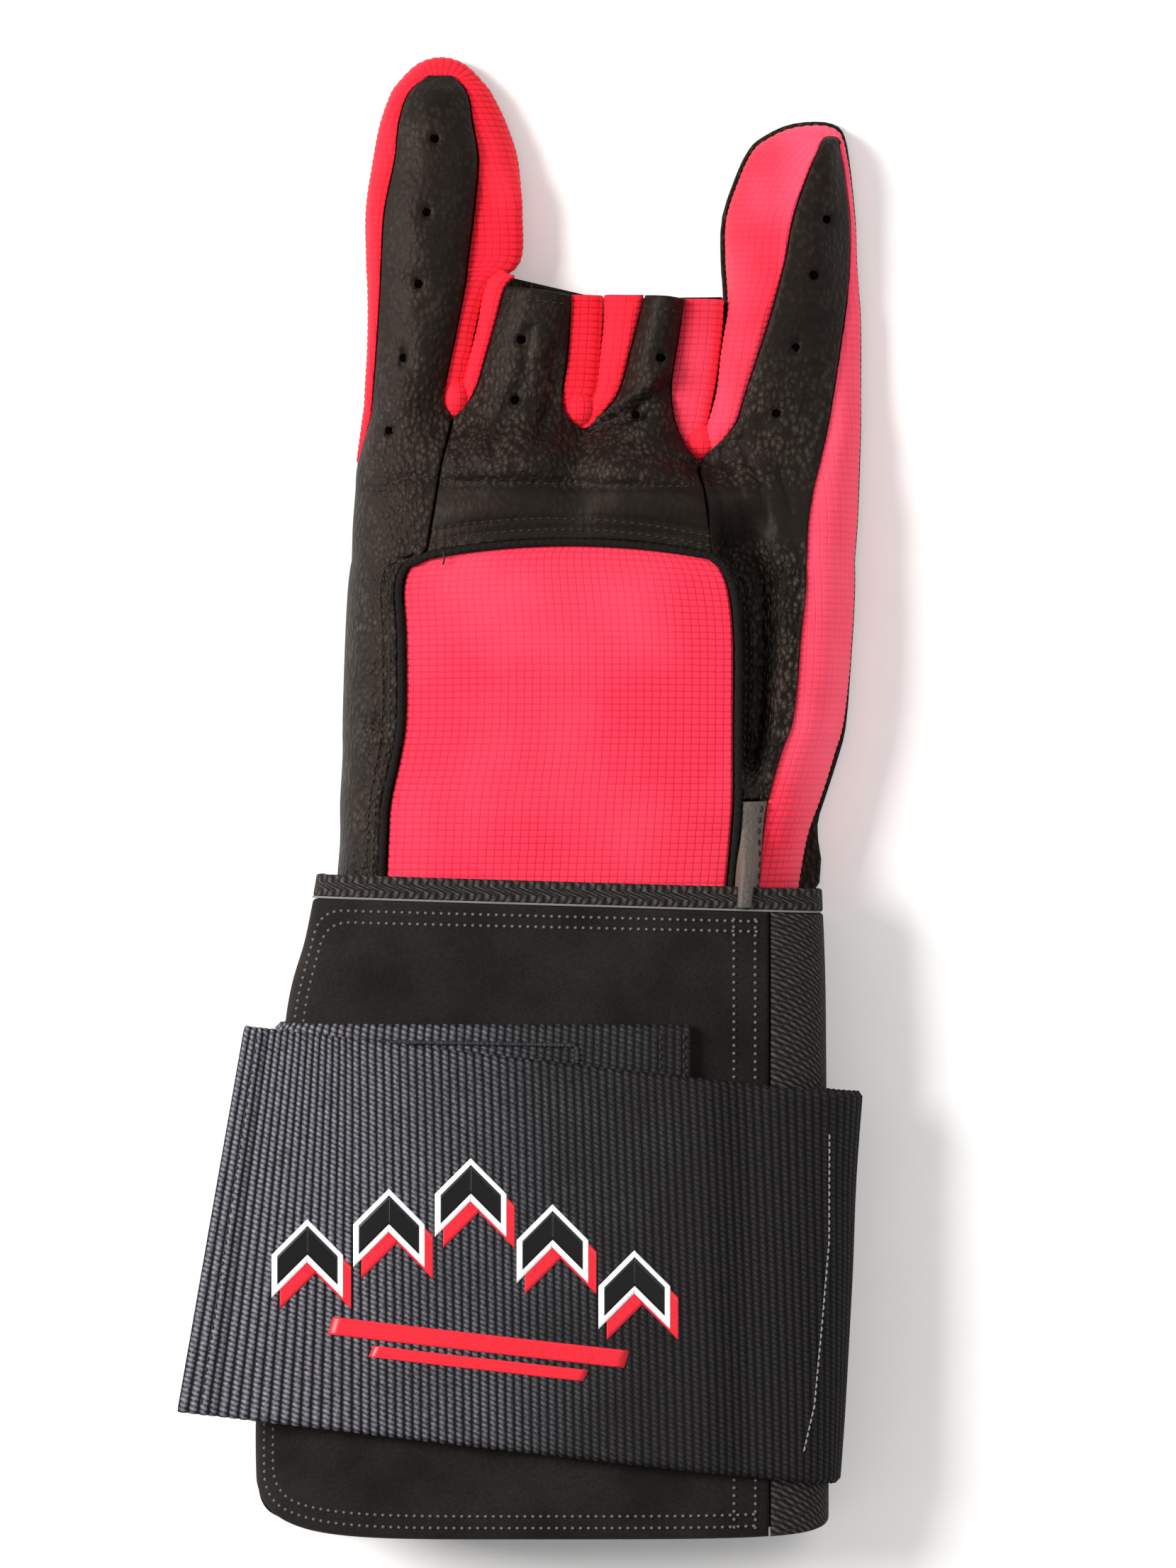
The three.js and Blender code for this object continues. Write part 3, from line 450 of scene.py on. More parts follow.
# Goatskin, drum dyed and worn: pebbled grain of about 1.1 mm, pulled longer across the hand, its tops
# polished and a little grey, its hollows matt and nearly black. The light catches it as fine warm specks.
def grained_leather(name, hollow, top, grain_mm, gloss):
    """hollow and top are the grain's two colours, grain_mm is its size, gloss the roughness of its tops."""
    made, tree, shader = new_material(name)
    place = add_node(tree, "ShaderNodeTexCoord").outputs["Object"]
    strength = add_node(tree, "ShaderNodeAttribute", attribute_name="grain").outputs["Fac"]
    pulled = add_node(tree, "ShaderNodeMapping", {
        "Vector": place, "Rotation": (0.0, 0.0, 0.6), "Scale": (1.0, 0.7, 1.0)})
    warp = add_node(tree, "ShaderNodeTexNoise", {"Vector": place, "Scale": 500.0, "Detail": 2.0})
    shift = add_node(tree, "ShaderNodeVectorMath", {
        0: warp.outputs["Color"], 1: (0.0009, 0.0009, 0.0009), 2: pulled.outputs["Vector"]},
        operation="MULTIPLY_ADD")
    cells = add_node(tree, "ShaderNodeTexVoronoi", {
        "Vector": shift.outputs[0], "Scale": 1000.0 / grain_mm}, feature="F1")
    pebble = add_node(tree, "ShaderNodeMapRange", {
        "Value": cells.outputs["Distance"], "From Min": 0.75, "From Max": 0.05},
        interpolation_type="SMOOTHSTEP")
    fine = add_node(tree, "ShaderNodeTexNoise", {"Vector": place, "Scale": 3200.0, "Detail": 3.0})
    patches = add_node(tree, "ShaderNodeTexNoise", {
        "Vector": place, "Scale": 110.0, "Detail": 4.0, "Roughness": 0.65})
    worn = add_node(tree, "ShaderNodeMapRange", {
        "Value": patches.outputs["Fac"], "From Min": 0.4, "From Max": 0.7, "To Min": 0.1, "To Max": 1.0})
    # The grain attribute also sets how light the tops are painted; beside the deep fold that is a painted
    # highlight
    polished = calc(tree, "MULTIPLY", worn.outputs["Result"], strength)
    tops = calc(tree, "MULTIPLY", pebble.outputs["Result"], polished)
    colour = blend(tree, tops, linear(hollow), linear(top))
    tree.links.new(colour, shader.inputs["Base Color"])
    rough = add_node(tree, "ShaderNodeMapRange", {
        "Value": tops, "To Min": gloss + 0.15, "To Max": gloss})
    tree.links.new(rough.outputs["Result"], shader.inputs["Roughness"])
    height = calc(tree, "MULTIPLY_ADD", fine.outputs["Fac"], 0.35, pebble.outputs["Result"])
    scaled = calc(tree, "MULTIPLY", height, strength)
    relief = add_node(tree, "ShaderNodeBump", {
        "Strength": 0.8, "Distance": 0.0004, "Height": scaled})
    tree.links.new(relief.outputs["Normal"], shader.inputs["Normal"])
    shader.inputs["IOR"].default_value = 1.5
    shader.inputs["Specular IOR Level"].default_value = 0.17
    shader.inputs["Specular Tint"].default_value = linear("#ffe6d2")
    return made


black_leather = grained_leather("black_goatskin", "#0d0907", "#3d342d", grain_mm=1.1, gloss=0.42)


def seam_inset(t, corner):
    """The leather keeps off the window's tape, and meets its neighbour above the window's corner."""
    return mix(BINDING_TRIM, 0.04, ramp(corner - 0.004, corner + 0.012, t))


def hand_grain(x, y):
    """Grain stands out over the knuckles and beside the deep fold, is fainter on the fingers and is pressed
    flat in the roll over the window. Beside the deep fold its tops are also painted lighter: a painted
    highlight on the fold's wall that faces the light."""
    # The term beside the deep fold paints a highlight: it lifts the grain's tops to a lighter colour where
    # the fold's right wall faces the light
    crinkle_and_highlight = 0.9 - 0.55 * ramp(95, 110, y) + 2.0 * ramp(46, 50, x) * (1 - ramp(60, 75, y))
    return crinkle_and_highlight * (1 - 0.85 * ramp(66, 69, y) * (1 - ramp(78, 80, y)) * ramp(-20, -16, x))


u, v, distances = laid_grid(index_surface, 250, 40, right=lambda t: seam_inset(t, window_share))
points = turned_edges(index_surface(u, v), distances, ["left", "right", "end"], 0.6)
index_back = sewn_wall("index_back", [(points, np.stack([v, u], -1))], LEATHER, black_leather,
                       grain=hand_grain)
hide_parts("index_leather")

# Pierced holes: a near-black disc at the bottom of each dent is painted shade, standing in for the open hole
# and the unlit inside of the glove
painted_hole_shade, tree, shader = new_material("painted_hole_shade")
shader.inputs["Base Color"].default_value = linear("#040303")
shader.inputs["Roughness"].default_value = 0.9
shader.inputs["Specular IOR Level"].default_value = 0.0


HOLE_SIDES = 16
# Share of the radius and height of the disc's rim, of its domed top and of its foot, from the dent's bottom
HOLE_RINGS = [(1.0, 0.62), (0.6, 0.65), (1.0, 0.22)]


def hole_shade_discs(name, surface_height, vents):
    """A small near-black disc at the bottom of each dent, domed a little, with a skirt that closes it below:
    painted shade in place of the open hole.
    """
    step = np.arange(HOLE_SIDES)
    ahead = (step + 1) % HOLE_SIDES
    turn = step / HOLE_SIDES * 2 * np.pi
    points, faces = [], []
    for k, (x, y) in enumerate(vents):
        bottom = surface_height(x, y)
        for share, rise in HOLE_RINGS:
            points.append(np.stack([x + VENT_RADIUS * share * np.cos(turn),
                                    y + VENT_RADIUS * share * np.sin(turn), 0 * turn + bottom + rise], 1))
        rim, top, foot = (np.arange(3) + 3 * k) * HOLE_SIDES
        faces += np.stack([rim + step, rim + ahead, top + ahead, top + step], 1).tolist()
        faces += np.stack([foot + step, foot + ahead, rim + ahead, rim + step], 1).tolist()
        faces += [(top + step).tolist(), (foot + step[::-1]).tolist()]
    finish_piece(name, np.concatenate(points), faces, painted_hole_shade)


def height_on(surface, u_range):
    """A function that gives a surface's height at x and y, from the nearest place of a fine grid."""
    gu, gv = np.meshgrid(np.linspace(*u_range, 500), np.linspace(0.02, 0.98, 140), indexing="ij")
    grid_points = surface(gu, gv).reshape(-1, 3)

    def height(x, y):
        return grid_points[np.argmin((grid_points[:, 0] - x) ** 2 + (grid_points[:, 1] - y) ** 2), 2]
    return height


hole_shade_discs("index_vent_shade", height_on(index_surface, (0.3, 1.0)), INDEX_VENTS)


# Waxed thread, black: round, dull, catching a thin line of light
def waxed_thread(name, colour):
    """One colour, darker in the gaps between its fibres."""
    made, tree, shader = new_material(name)
    place = add_node(tree, "ShaderNodeTexCoord").outputs["Object"]
    fuzz = add_node(tree, "ShaderNodeTexNoise", {"Vector": place, "Scale": 3000.0, "Detail": 2.0})
    tint = blend(tree, fuzz.outputs["Fac"], darker(colour, 0.6), linear(colour))
    tree.links.new(tint, shader.inputs["Base Color"])
    shader.inputs["Roughness"].default_value = 0.6
    shader.inputs["Specular IOR Level"].default_value = 0.2
    return made


black_thread = waxed_thread("black_thread", "#282320")


def thread_stitches(name, lines, pitch, thickness, material, cover=0.72):
    """Lockstitches along lines of (points, normals) in mm. Each is a small rounded bar as long as the
    given share of the pitch, and both its ends dive into the leather on a parabola."""
    sides, rings = 6, 5
    around = np.arange(sides) / sides * 2 * np.pi
    along = np.linspace(-1, 1, rings)
    radius = np.array([0.45, 0.9, 1.0, 0.9, 0.45])[:, None] * thickness / 2
    template = np.stack([
        np.broadcast_to(along[:, None] * pitch * cover / 2, (rings, sides)),
        radius * np.cos(around),
        radius * np.sin(around) + (0.30 - 0.75 * along[:, None] ** 2) * thickness], -1).reshape(-1, 3)
    centres, axes = [], []
    for line, normals in lines:
        steps = np.linalg.norm(np.diff(line, axis=0), axis=1)
        far = np.concatenate([[0], np.cumsum(steps)])
        at = np.arange(pitch / 2, far[-1], pitch)
        middle = np.stack([np.interp(at, far, line[:, k]) for k in range(3)], 1)
        ahead = np.stack([np.interp(at + pitch * 0.3, far, line[:, k]) for k in range(3)], 1)
        behind = np.stack([np.interp(at - pitch * 0.3, far, line[:, k]) for k in range(3)], 1)
        forward = ahead - behind
        forward /= np.linalg.norm(forward, axis=1, keepdims=True)
        up = np.stack([np.interp(at, far, normals[:, k]) for k in range(3)], 1)
        up -= forward * (up * forward).sum(1, keepdims=True)
        up /= np.linalg.norm(up, axis=1, keepdims=True)
        centres.append(middle)
        axes.append(np.stack([forward, np.cross(up, forward), up], 1))
    centres, axes = np.concatenate(centres), np.concatenate(axes)
    points = (centres[:, None] + np.einsum("ij,kjl->kil", template, axes)).reshape(-1, 3)
    ring = np.arange(sides)
    quads = np.concatenate([
        np.stack([ring + r * sides, (ring + 1) % sides + r * sides,
                  (ring + 1) % sides + (r + 1) * sides, ring + (r + 1) * sides], 1)
        for r in range(rings - 1)])
    step = sides * rings
    starts = np.arange(len(centres))[:, None, None] * step
    faces = (quads[None] + starts).reshape(-1, 4).tolist()
    caps = np.stack([ring[::-1], ring + (rings - 1) * sides])
    faces += (caps[None] + starts).reshape(-1, sides).tolist()
    finish_piece(name, points, faces, material)


LINE_STEP = 2e-3


def line_on(surface, u, v):
    """Points and outward normals of a line of places on a surface."""
    points = surface(u, v)
    across = surface(u, np.clip(v + LINE_STEP, 0, 1)) - surface(u, np.clip(v - LINE_STEP, 0, 1))
    along = surface(np.clip(u + LINE_STEP, 0, 1), v) - surface(np.clip(u - LINE_STEP, 0, 1), v)
    normals = np.cross(across, along)
    return points, normals / np.linalg.norm(normals, axis=1, keepdims=True)


def beside_edge(surface, u, side, distance):
    """Line on a surface that stays a distance in mm inside its left (0) or right (1) edge."""
    wide = line_length(lambda t: surface(u, np.full_like(u, t)))
    return line_on(surface, u, np.abs(side - distance / wide))


# Two rows run beside the window, and one crosses the knuckle on a wavy line.
side_u = np.linspace(0.0, window_share * 0.985, 120)


def places_of(surface, targets, u_range):
    """Places (u, v) of points given by x and y in mm, found as the nearest on a fine grid."""
    gu, gv = np.meshgrid(np.linspace(*u_range, 400), np.linspace(0.02, 0.98, 120), indexing="ij")
    grid_points = surface(gu, gv)[..., :2].reshape(-1, 2)
    nearest = np.array([np.argmin(((grid_points - t) ** 2).sum(1)) for t in np.asarray(targets, float)])
    return gu.ravel()[nearest], gv.ravel()[nearest]


def smooth_line(corners, count):
    """Places along a line through the given corners, evenly spaced over its length."""
    corners = np.asarray(corners, float)
    far = np.concatenate([[0], np.cumsum(np.linalg.norm(np.diff(corners, axis=0), axis=1))])
    at = np.linspace(0, far[-1], count)
    return np.stack([np.interp(at, far, corners[:, k]) for k in range(corners.shape[1])], 1)


ku, kv = places_of(index_surface, smooth_line(INDEX_KNUCKLE_LINE, 24), (0.3, 0.6))
thread_stitches("index_stitches", [
    *(beside_edge(index_surface, side_u, 1, d + BINDING_TRIM) for d in WINDOW_ROWS),
    line_on(index_surface, ku, kv)], STITCH_PITCH, THREAD, black_thread)


# Little leather
# The same goatskin from the grey tab to the tip of the little finger. It has collapsed into a deep fold
# beside the window, and is pierced with four vent holes.

LITTLE_WEB = 0.905
LITTLE_LENGTH = 65.0
VALLEY_DEPTH = 8.5
VALLEY_PLACE = 0.33
VALLEY_WIDTH = 0.25
# The columns of this table and of the next are those of the index finger
LITTLE_ROWS = np.array([
    [0.00, 0.355, 0.352, 0.590, 0.670, 0.80, 0.85, 0.10],
    [0.10, 0.372, 0.415, 0.605, 0.672, 0.88, 0.75, 0.12],
    [0.23, 0.392, 0.445, 0.620, 0.672, 0.92, 0.65, 0.12],
    [0.43, 0.408, 0.487, 0.640, 0.672, 0.92, 0.52, 0.14],
    [0.53, 0.408, 0.505, 0.648, 0.668, 0.90, 0.43, 0.16],
    [0.62, 0.404, 0.520, 0.652, 0.664, 0.87, 0.38, 0.18],
    [0.75, 0.406, 0.536, 0.652, 0.661, 0.82, 0.36, 0.18],
    [0.88, 0.434, 0.565, 0.642, 0.652, 0.72, 0.36, 0.15],
    [0.95, 0.456, 0.585, 0.633, 0.644, 0.60, 0.38, 0.10],
    [0.985, 0.478, 0.594, 0.629, 0.638, 0.49, 0.38, 0.05],
])
LITTLE_TIP = np.array([
    [0.599, 0.995, 0.530, 1.025, 0.38],
    [0.612, 1.000, 0.590, 1.035, 0.36],
    [0.625, 0.995, 0.625, 1.020, 0.36],
])
LITTLE_VENTS = [(60.2, 132.2), (57.6, 121.0), (54.0, 106.6), (50.2, 93.6)]
# Soft pleats that fan out from the bottom of the V
LITTLE_PLEATS = [
    [(36.5, 84), (39.5, 76), (41, 66)], [(39.5, 86), (43, 78), (45, 68)],
    [(43, 88), (47, 80), (49, 70)], [(47, 92), (51, 84), (53, 74)]]

little_sections = np.array([
    *([row[0] * HAND_LENGTH, row[3] * HAND_WIDTH, float(back_height(row[3], row[0])),
       row[4] * HAND_WIDTH, float(back_height(row[4], row[0])), 0, 0]
      for row in HAND_ROWS if row[0] < LITTLE_WEB),
    *([LITTLE_WEB * HAND_LENGTH + row[0] * LITTLE_LENGTH, row[2] * HAND_WIDTH, row[5] * FINGER_HEIGHT,
       row[3] * HAND_WIDTH, row[6] * FINGER_HEIGHT, row[7] * FINGER_HEIGHT, 0] for row in LITTLE_ROWS),
    [LITTLE_WEB * HAND_LENGTH + LITTLE_TIP[1, 1] * LITTLE_LENGTH, LITTLE_TIP[0, 0] * HAND_WIDTH,
     LITTLE_TIP[1, 4] * FINGER_HEIGHT, LITTLE_TIP[2, 0] * HAND_WIDTH,
     LITTLE_TIP[1, 4] * FINGER_HEIGHT, 0, 0],
])
little_window_share = WINDOW_TOP_ROW / (len(little_sections) - 1)
tab_share = TAB_TOP_ROW / (len(little_sections) - 1)


def little_surface(u, v):
    """The sections from the tab to the tip, less the flat-bottomed groove of the deep fold, with folds,
    pleats, vent holes and the pull of the stitches."""
    from_cuff = mix(tab_share, 1, u)
    section = row_at(little_sections, from_cuff)
    points = section_point(section, v)
    x, y = points[..., 0], points[..., 1]
    along = y / HAND_LENGTH
    ends = ramp(0.20, 0.30, along) * (1 - ramp(0.66, 0.84, along))
    relief = -VALLEY_DEPTH * ends * np.exp(-np.abs((v - VALLEY_PLACE) / VALLEY_WIDTH) ** 3)
    relief -= row_pucker(x - section[..., 1], y) * (from_cuff < little_window_share)
    inside = ramp(0, 0.08, v) * ramp(0, 0.08, 1 - v) * ramp(0, 0.03, 1 - u)
    relief += leather_folds(x, y, 23) * inside
    for pleat in LITTLE_PLEATS:
        relief -= 0.42 * near_line(x, y, pleat, 0.9) * inside
    points[..., 2] += relief - vent_dents(x, y, LITTLE_VENTS)
    return points


def little_left(t):
    """Distance in mm that the leather keeps from its left line at each place along it."""
    return seam_inset(mix(tab_share, 1, t), little_window_share)


u, v, distances = laid_grid(little_surface, 230, 44, left=little_left, start=GAP)
points = turned_edges(little_surface(u, v), distances, ["left", "right", "end", "start"], 0.6)
little_back = sewn_wall("little_back", [(points, np.stack([v, u], -1))], LEATHER, black_leather,
                        grain=hand_grain)
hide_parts("little_leather")
hole_shade_discs("little_vent_shade", height_on(little_surface, (0.3, 1.0)), LITTLE_VENTS)
window_u = np.linspace(0, (little_window_share - tab_share) / (1 - tab_share) * 0.985, 100)
thread_stitches("little_stitches", [
    beside_edge(little_surface, window_u, 0, d + BINDING_TRIM) for d in WINDOW_ROWS],
    STITCH_PITCH, THREAD, black_thread)


# Leather tab
# A strip of smooth grey calf that carries the little leather on to the cuff, sewn down on its right.

grey_leather = grained_leather("grey_calf", "#57504a", "#837a72", grain_mm=0.7, gloss=0.38)
TAB_LAP = 2.4
BAND_STEP = 5.6


def tab_surface(u, v):
    """The first sections of the little leather, drawn down over the cuff's band and arched by its step."""
    points = section_point(row_at(little_sections, u * tab_share), v)
    points[..., 1] -= TAB_LAP * (1 - u) ** 2
    arched = ramp(0, 0.35, v) * ramp(0, 0.35, 1 - v)
    points[..., 2] += BAND_STEP * arched * (1 - ramp(2.5, 12, points[..., 1])) + 0.7 * np.sin(v * np.pi)
    points[..., 2] += 0.25 * soft_noise(points[..., 0], points[..., 1], 6, 31)
    return points


u, v, distances = laid_grid(tab_surface, 34, 14, left=BINDING_TRIM)
points = turned_edges(tab_surface(u, v), distances, ["left", "right", "end", "start"], 0.6)
wrist_tab = sewn_wall("wrist_tab", [(points, np.stack([v, u], -1))], LEATHER, grey_leather,
                      grain=lambda x, y: 0.3 + 0 * x)
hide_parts("leather_tab")
tab_u = np.linspace(0.05, 0.95, 40)
thread_stitches("tab_stitches", [beside_edge(tab_surface, tab_u, 1, 1.2)], pitch=2.2, thickness=0.6,
                material=black_thread)


# Window knit
# Stretch knit in red nylon, sewn behind the opening over the back of the hand. It is a waffle of small
# cushions: ribs across the hand 1.3 mm apart, tied down by fine lines 1.55 mm apart.

KNIT = 1.4
KNIT_SINK = 0.9
KNIT_RIB = 1.31
KNIT_COLUMN = 1.55
WINDOW_ACROSS = 65.0
WINDOW_CROWN = 0.03


def window_point(u, v, sink=0.0):
    """Between the left and right edges of the window, its top edge raised as a parabola."""
    left, right = row_at(index_sections, u * window_share), row_at(little_sections, u * little_window_share)
    x = mix(left[..., 3], right[..., 1], v)
    along = left[..., 0] / HAND_LENGTH + WINDOW_CROWN * (1 - (2 * v - 1) ** 2) * u ** 4
    return np.stack([x, along * HAND_LENGTH, back_height(x / HAND_WIDTH, along) - sink], -1)


def cushions(columns, ribs_up, height):
    """Relief of the knit: arched ribs, each nipped where a column's line ties it down."""
    tied = np.minimum(1, 2.2 * np.abs(np.sin(np.pi * columns)))
    return height * np.abs(np.sin(np.pi * ribs_up)) ** 0.6 * (0.55 + 0.45 * tied)


# Red nylon waffle knit with a soft sheen. The cushions' tops are painted lighter and their sunk edges a
# deeper red, as painted shade in the grooves. Each unit of the piece's UV map is one cushion: columns
# in X, ribs in Y.
def waffle_knit(name, deep, bright, pale, faded=(1.0, 2.0)):
    """faded is the range in X, in metres, over which the knit has been bleached paler."""
    made, tree, shader = new_material(name)
    cloth = add_node(tree, "ShaderNodeUVMap", uv_map="cloth").outputs["UV"]
    place = add_node(tree, "ShaderNodeTexCoord").outputs["Object"]
    uneven = add_node(tree, "ShaderNodeTexNoise", {"Vector": cloth, "Scale": 0.9, "Detail": 2.0})
    wobble = add_node(tree, "ShaderNodeVectorMath", {
        0: uneven.outputs["Color"], 1: (0.22, 0.16, 0.0), 2: cloth}, operation="MULTIPLY_ADD")
    parts = add_node(tree, "ShaderNodeSeparateXYZ", {"Vector": wobble.outputs[0]})
    arches = []
    for axis in "XY":
        turn = calc(tree, "MULTIPLY", parts.outputs[axis], np.pi)
        wave = calc(tree, "SINE", turn)
        arches.append(calc(tree, "ABSOLUTE", wave))
    tied = add_node(tree, "ShaderNodeMapRange", {
        "Value": arches[0], "From Min": 0.02, "From Max": 0.32, "To Min": 0.2})
    rib = add_node(tree, "ShaderNodeMapRange", {
        "Value": arches[1], "From Min": 0.0, "From Max": 0.75, "To Min": 0.28},
        interpolation_type="SMOOTHSTEP")
    cushion = calc(tree, "MULTIPLY", tied.outputs["Result"], rib.outputs["Result"])
    loops = add_node(tree, "ShaderNodeTexNoise", {"Vector": place, "Scale": 2400.0, "Detail": 2.0})
    broad = add_node(tree, "ShaderNodeTexNoise", {"Vector": place, "Scale": 40.0, "Detail": 2.0})
    speckled = calc(tree, "MULTIPLY_ADD", loops.outputs["Fac"], 0.3, -0.15)
    # The cushion mask paints the grooves deep red as painted shade and the tops bright as painted light; the
    # speckle is the yarn's own
    painted_shade_and_speckle = calc(tree, "ADD", speckled, cushion, use_clamp=True)
    red = blend(tree, painted_shade_and_speckle, linear(deep), linear(bright))
    fade = add_node(tree, "ShaderNodeMapRange", {
        "Value": broad.outputs["Fac"], "From Min": 0.4, "From Max": 0.75, "To Max": 0.35})
    across = add_node(tree, "ShaderNodeSeparateXYZ", {"Vector": place}).outputs["X"]
    bleached = add_node(tree, "ShaderNodeMapRange", {
        "Value": across, "From Min": faded[0], "From Max": faded[1], "To Max": 0.6})
    paler = calc(tree, "ADD", fade.outputs["Result"], bleached.outputs["Result"], use_clamp=True)
    colour = blend(tree, paler, red, linear(pale))
    tree.links.new(colour, shader.inputs["Base Color"])
    fuzz = calc(tree, "MULTIPLY_ADD", loops.outputs["Fac"], 0.3, cushion)
    relief = add_node(tree, "ShaderNodeBump", {
        "Strength": 0.5, "Distance": 0.00022, "Height": fuzz})
    tree.links.new(relief.outputs["Normal"], shader.inputs["Normal"])
    shader.inputs["Roughness"].default_value = 0.85
    shader.inputs["Specular IOR Level"].default_value = 0.25
    shader.inputs["Sheen Weight"].default_value = 0.05
    shader.inputs["Sheen Roughness"].default_value = 0.4
    return made


red_knit = waffle_knit("red_waffle_knit", "#a80f27", "#f12c46", "#f84e67")


def run_along(points):
    """Distance in mm from a grid's first column, measured along each row."""
    steps = np.linalg.norm(np.diff(points, axis=1), axis=-1)
    return np.concatenate([np.zeros((len(points), 1)), np.cumsum(steps, axis=1)], axis=1)


trim = 0.016
fine_u = np.linspace(0, 1 - trim, 900)
far = run_along(window_point(fine_u, np.full(900, 0.5))[None])[0]
cells_down, cells_across = int(far[-1] / KNIT_RIB), int(WINDOW_ACROSS / KNIT_COLUMN)
even_u = np.interp(np.linspace(0, far[-1], cells_down * 3 + 1), far, fine_u)
u, v = np.meshgrid(even_u, np.linspace(0, 1, cells_across * 3 + 1), indexing="ij")
cloth = np.stack([v * cells_across, np.linspace(0, cells_down, cells_down * 3 + 1)[:, None] + 0 * v], -1)
points = window_point(u, mix(trim, 1 - trim, v), KNIT_SINK)
sag = 0.5 * soft_noise(points[..., 0], points[..., 1], 18, 41)
points[..., 2] += cushions(cloth[..., 0], cloth[..., 1], 0.16) + sag * np.sin(np.pi * v) * np.sin(np.pi * u)
window_knit = sewn_wall("window_knit", [(points, cloth)], KNIT, red_knit)
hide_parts("back_knit")


# Window tape
# Black cotton tape folded over the raw edge round the window and caught by the nearer stitch row. The
# thread's tail was left loose at the upper left corner.

# Cotton tape: matt, with a fine cross weave of 0.5 mm
tape, tree, shader = new_material("cotton_tape")
place = add_node(tree, "ShaderNodeTexCoord").outputs["Object"]
weave = add_node(tree, "ShaderNodeTexVoronoi", {"Vector": place, "Scale": 2000.0})
colour = blend(tree, weave.outputs["Distance"], linear("#191512"), linear("#0b0908"))
tree.links.new(colour, shader.inputs["Base Color"])
relief = add_node(tree, "ShaderNodeBump", {
    "Strength": 0.6, "Distance": 0.0001, "Height": weave.outputs["Distance"]}, invert=True)
tree.links.new(relief.outputs["Normal"], shader.inputs["Normal"])
shader.inputs["Roughness"].default_value = 0.85
shader.inputs["Specular IOR Level"].default_value = 0.12


def rounded_corners(line, count):
    """A running mean over an odd count of places, which rounds a line's corners and keeps its ends."""
    columns = [np.pad(line[:, k], count // 2, mode="reflect", reflect_type="odd")
               for k in range(line.shape[1])]
    return np.stack([np.convolve(column, np.ones(count) / count, mode="valid") for column in columns], 1)


def carried_profile(name, path, ups, profile, material):
    """A closed profile of (across, up) carried along a path: each ring is path + across * side + up * up."""
    forward = np.gradient(path, axis=0)
    forward /= np.linalg.norm(forward, axis=1, keepdims=True)
    side = np.cross(forward, ups)
    side /= np.linalg.norm(side, axis=1, keepdims=True)
    rise = np.cross(side, forward)
    points = path[:, None] + side[:, None] * profile[..., 0:1] + rise[:, None] * profile[..., 1:2]
    rings, sides = points.shape[:2]
    index = np.arange(rings * sides).reshape(rings, sides)
    turned = np.roll(index, -1, axis=1)
    faces = np.stack([index[:-1], turned[:-1], turned[1:], index[1:]], -1).reshape(-1, 4).tolist()
    faces += [index[0, ::-1].tolist(), index[-1].tolist()]
    return finish_piece(name, points.reshape(-1, 3), faces, material)


TAPE_STEPS = 170
edge_steps = np.linspace(0, 1, TAPE_STEPS)
path_u = np.concatenate([edge_steps, np.ones(TAPE_STEPS - 2), edge_steps[::-1]])
path_v = np.concatenate([np.zeros(TAPE_STEPS), edge_steps[1:-1], np.ones(TAPE_STEPS)])
tape_path = window_point(path_u, path_v)
tape_path[:, :2] = rounded_corners(tape_path[:, :2], 9)
PROFILE_SIDES = 12
around = -np.arange(PROFILE_SIDES) / PROFILE_SIDES * 2 * np.pi
pucker = 1 + 0.09 * np.sin(np.arange(len(tape_path)) * 1.3)[:, None] * np.ones(PROFILE_SIDES)
tape_profile = np.stack([
    0.75 * np.cos(around) * pucker, 0.1 + 0.58 * np.sin(around) * pucker], -1)
window_tape = carried_profile("window_tape", tape_path, np.tile([0.0, 0, 1], (len(tape_path), 1)),
                              tape_profile, tape)
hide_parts("window_binding")

TAIL_STEPS = 24
tail_steps = np.linspace(0, 1, TAIL_STEPS)
tail = window_point(np.full(TAIL_STEPS, 0.99), np.full(TAIL_STEPS, 0.07)) + np.stack([
    0.3 * np.sin(tail_steps * 3), 0.6 - 2.6 * tail_steps, 0.5 + 0.4 * np.sin(tail_steps * 3)], -1)
thin = 0.2 * np.stack([np.cos(around), np.sin(around)], -1)[None] * np.ones((TAIL_STEPS, 1, 1))
carried_profile("thread_tail", tail, np.tile([0.0, 0, 1], (TAIL_STEPS, 1)), thin, black_thread)


# Middle leather
# One goatskin piece over the knuckles and both half fingers. A stitched line makes a smooth roll above
# the window, and the ends of the half fingers are hemmed.

HALF_FINGER_LENGTH = 26.0
# left X, left along, right X, right along, outer left, outer right, left seam, right seam, crown
MIDDLE_ROWS = np.array([
    [-0.140, 0.00, 0.105, -0.05, -0.128, 0.112, 0.72, 0.75, 0.33],
    [-0.112, 0.10, 0.085, 0.06, -0.118, 0.118, 0.75, 0.78, 0.28],
    [-0.092, 0.24, 0.081, 0.20, -0.112, 0.138, 0.78, 0.80, 0.24],
    [-0.075, 0.46, 0.090, 0.44, -0.098, 0.145, 0.78, 0.80, 0.24],
    [-0.056, 0.72, 0.095, 0.70, -0.082, 0.150, 0.78, 0.80, 0.24],
    [-0.036, 1.00, 0.097, 0.93, -0.064, 0.152, 0.78, 0.80, 0.24],
])
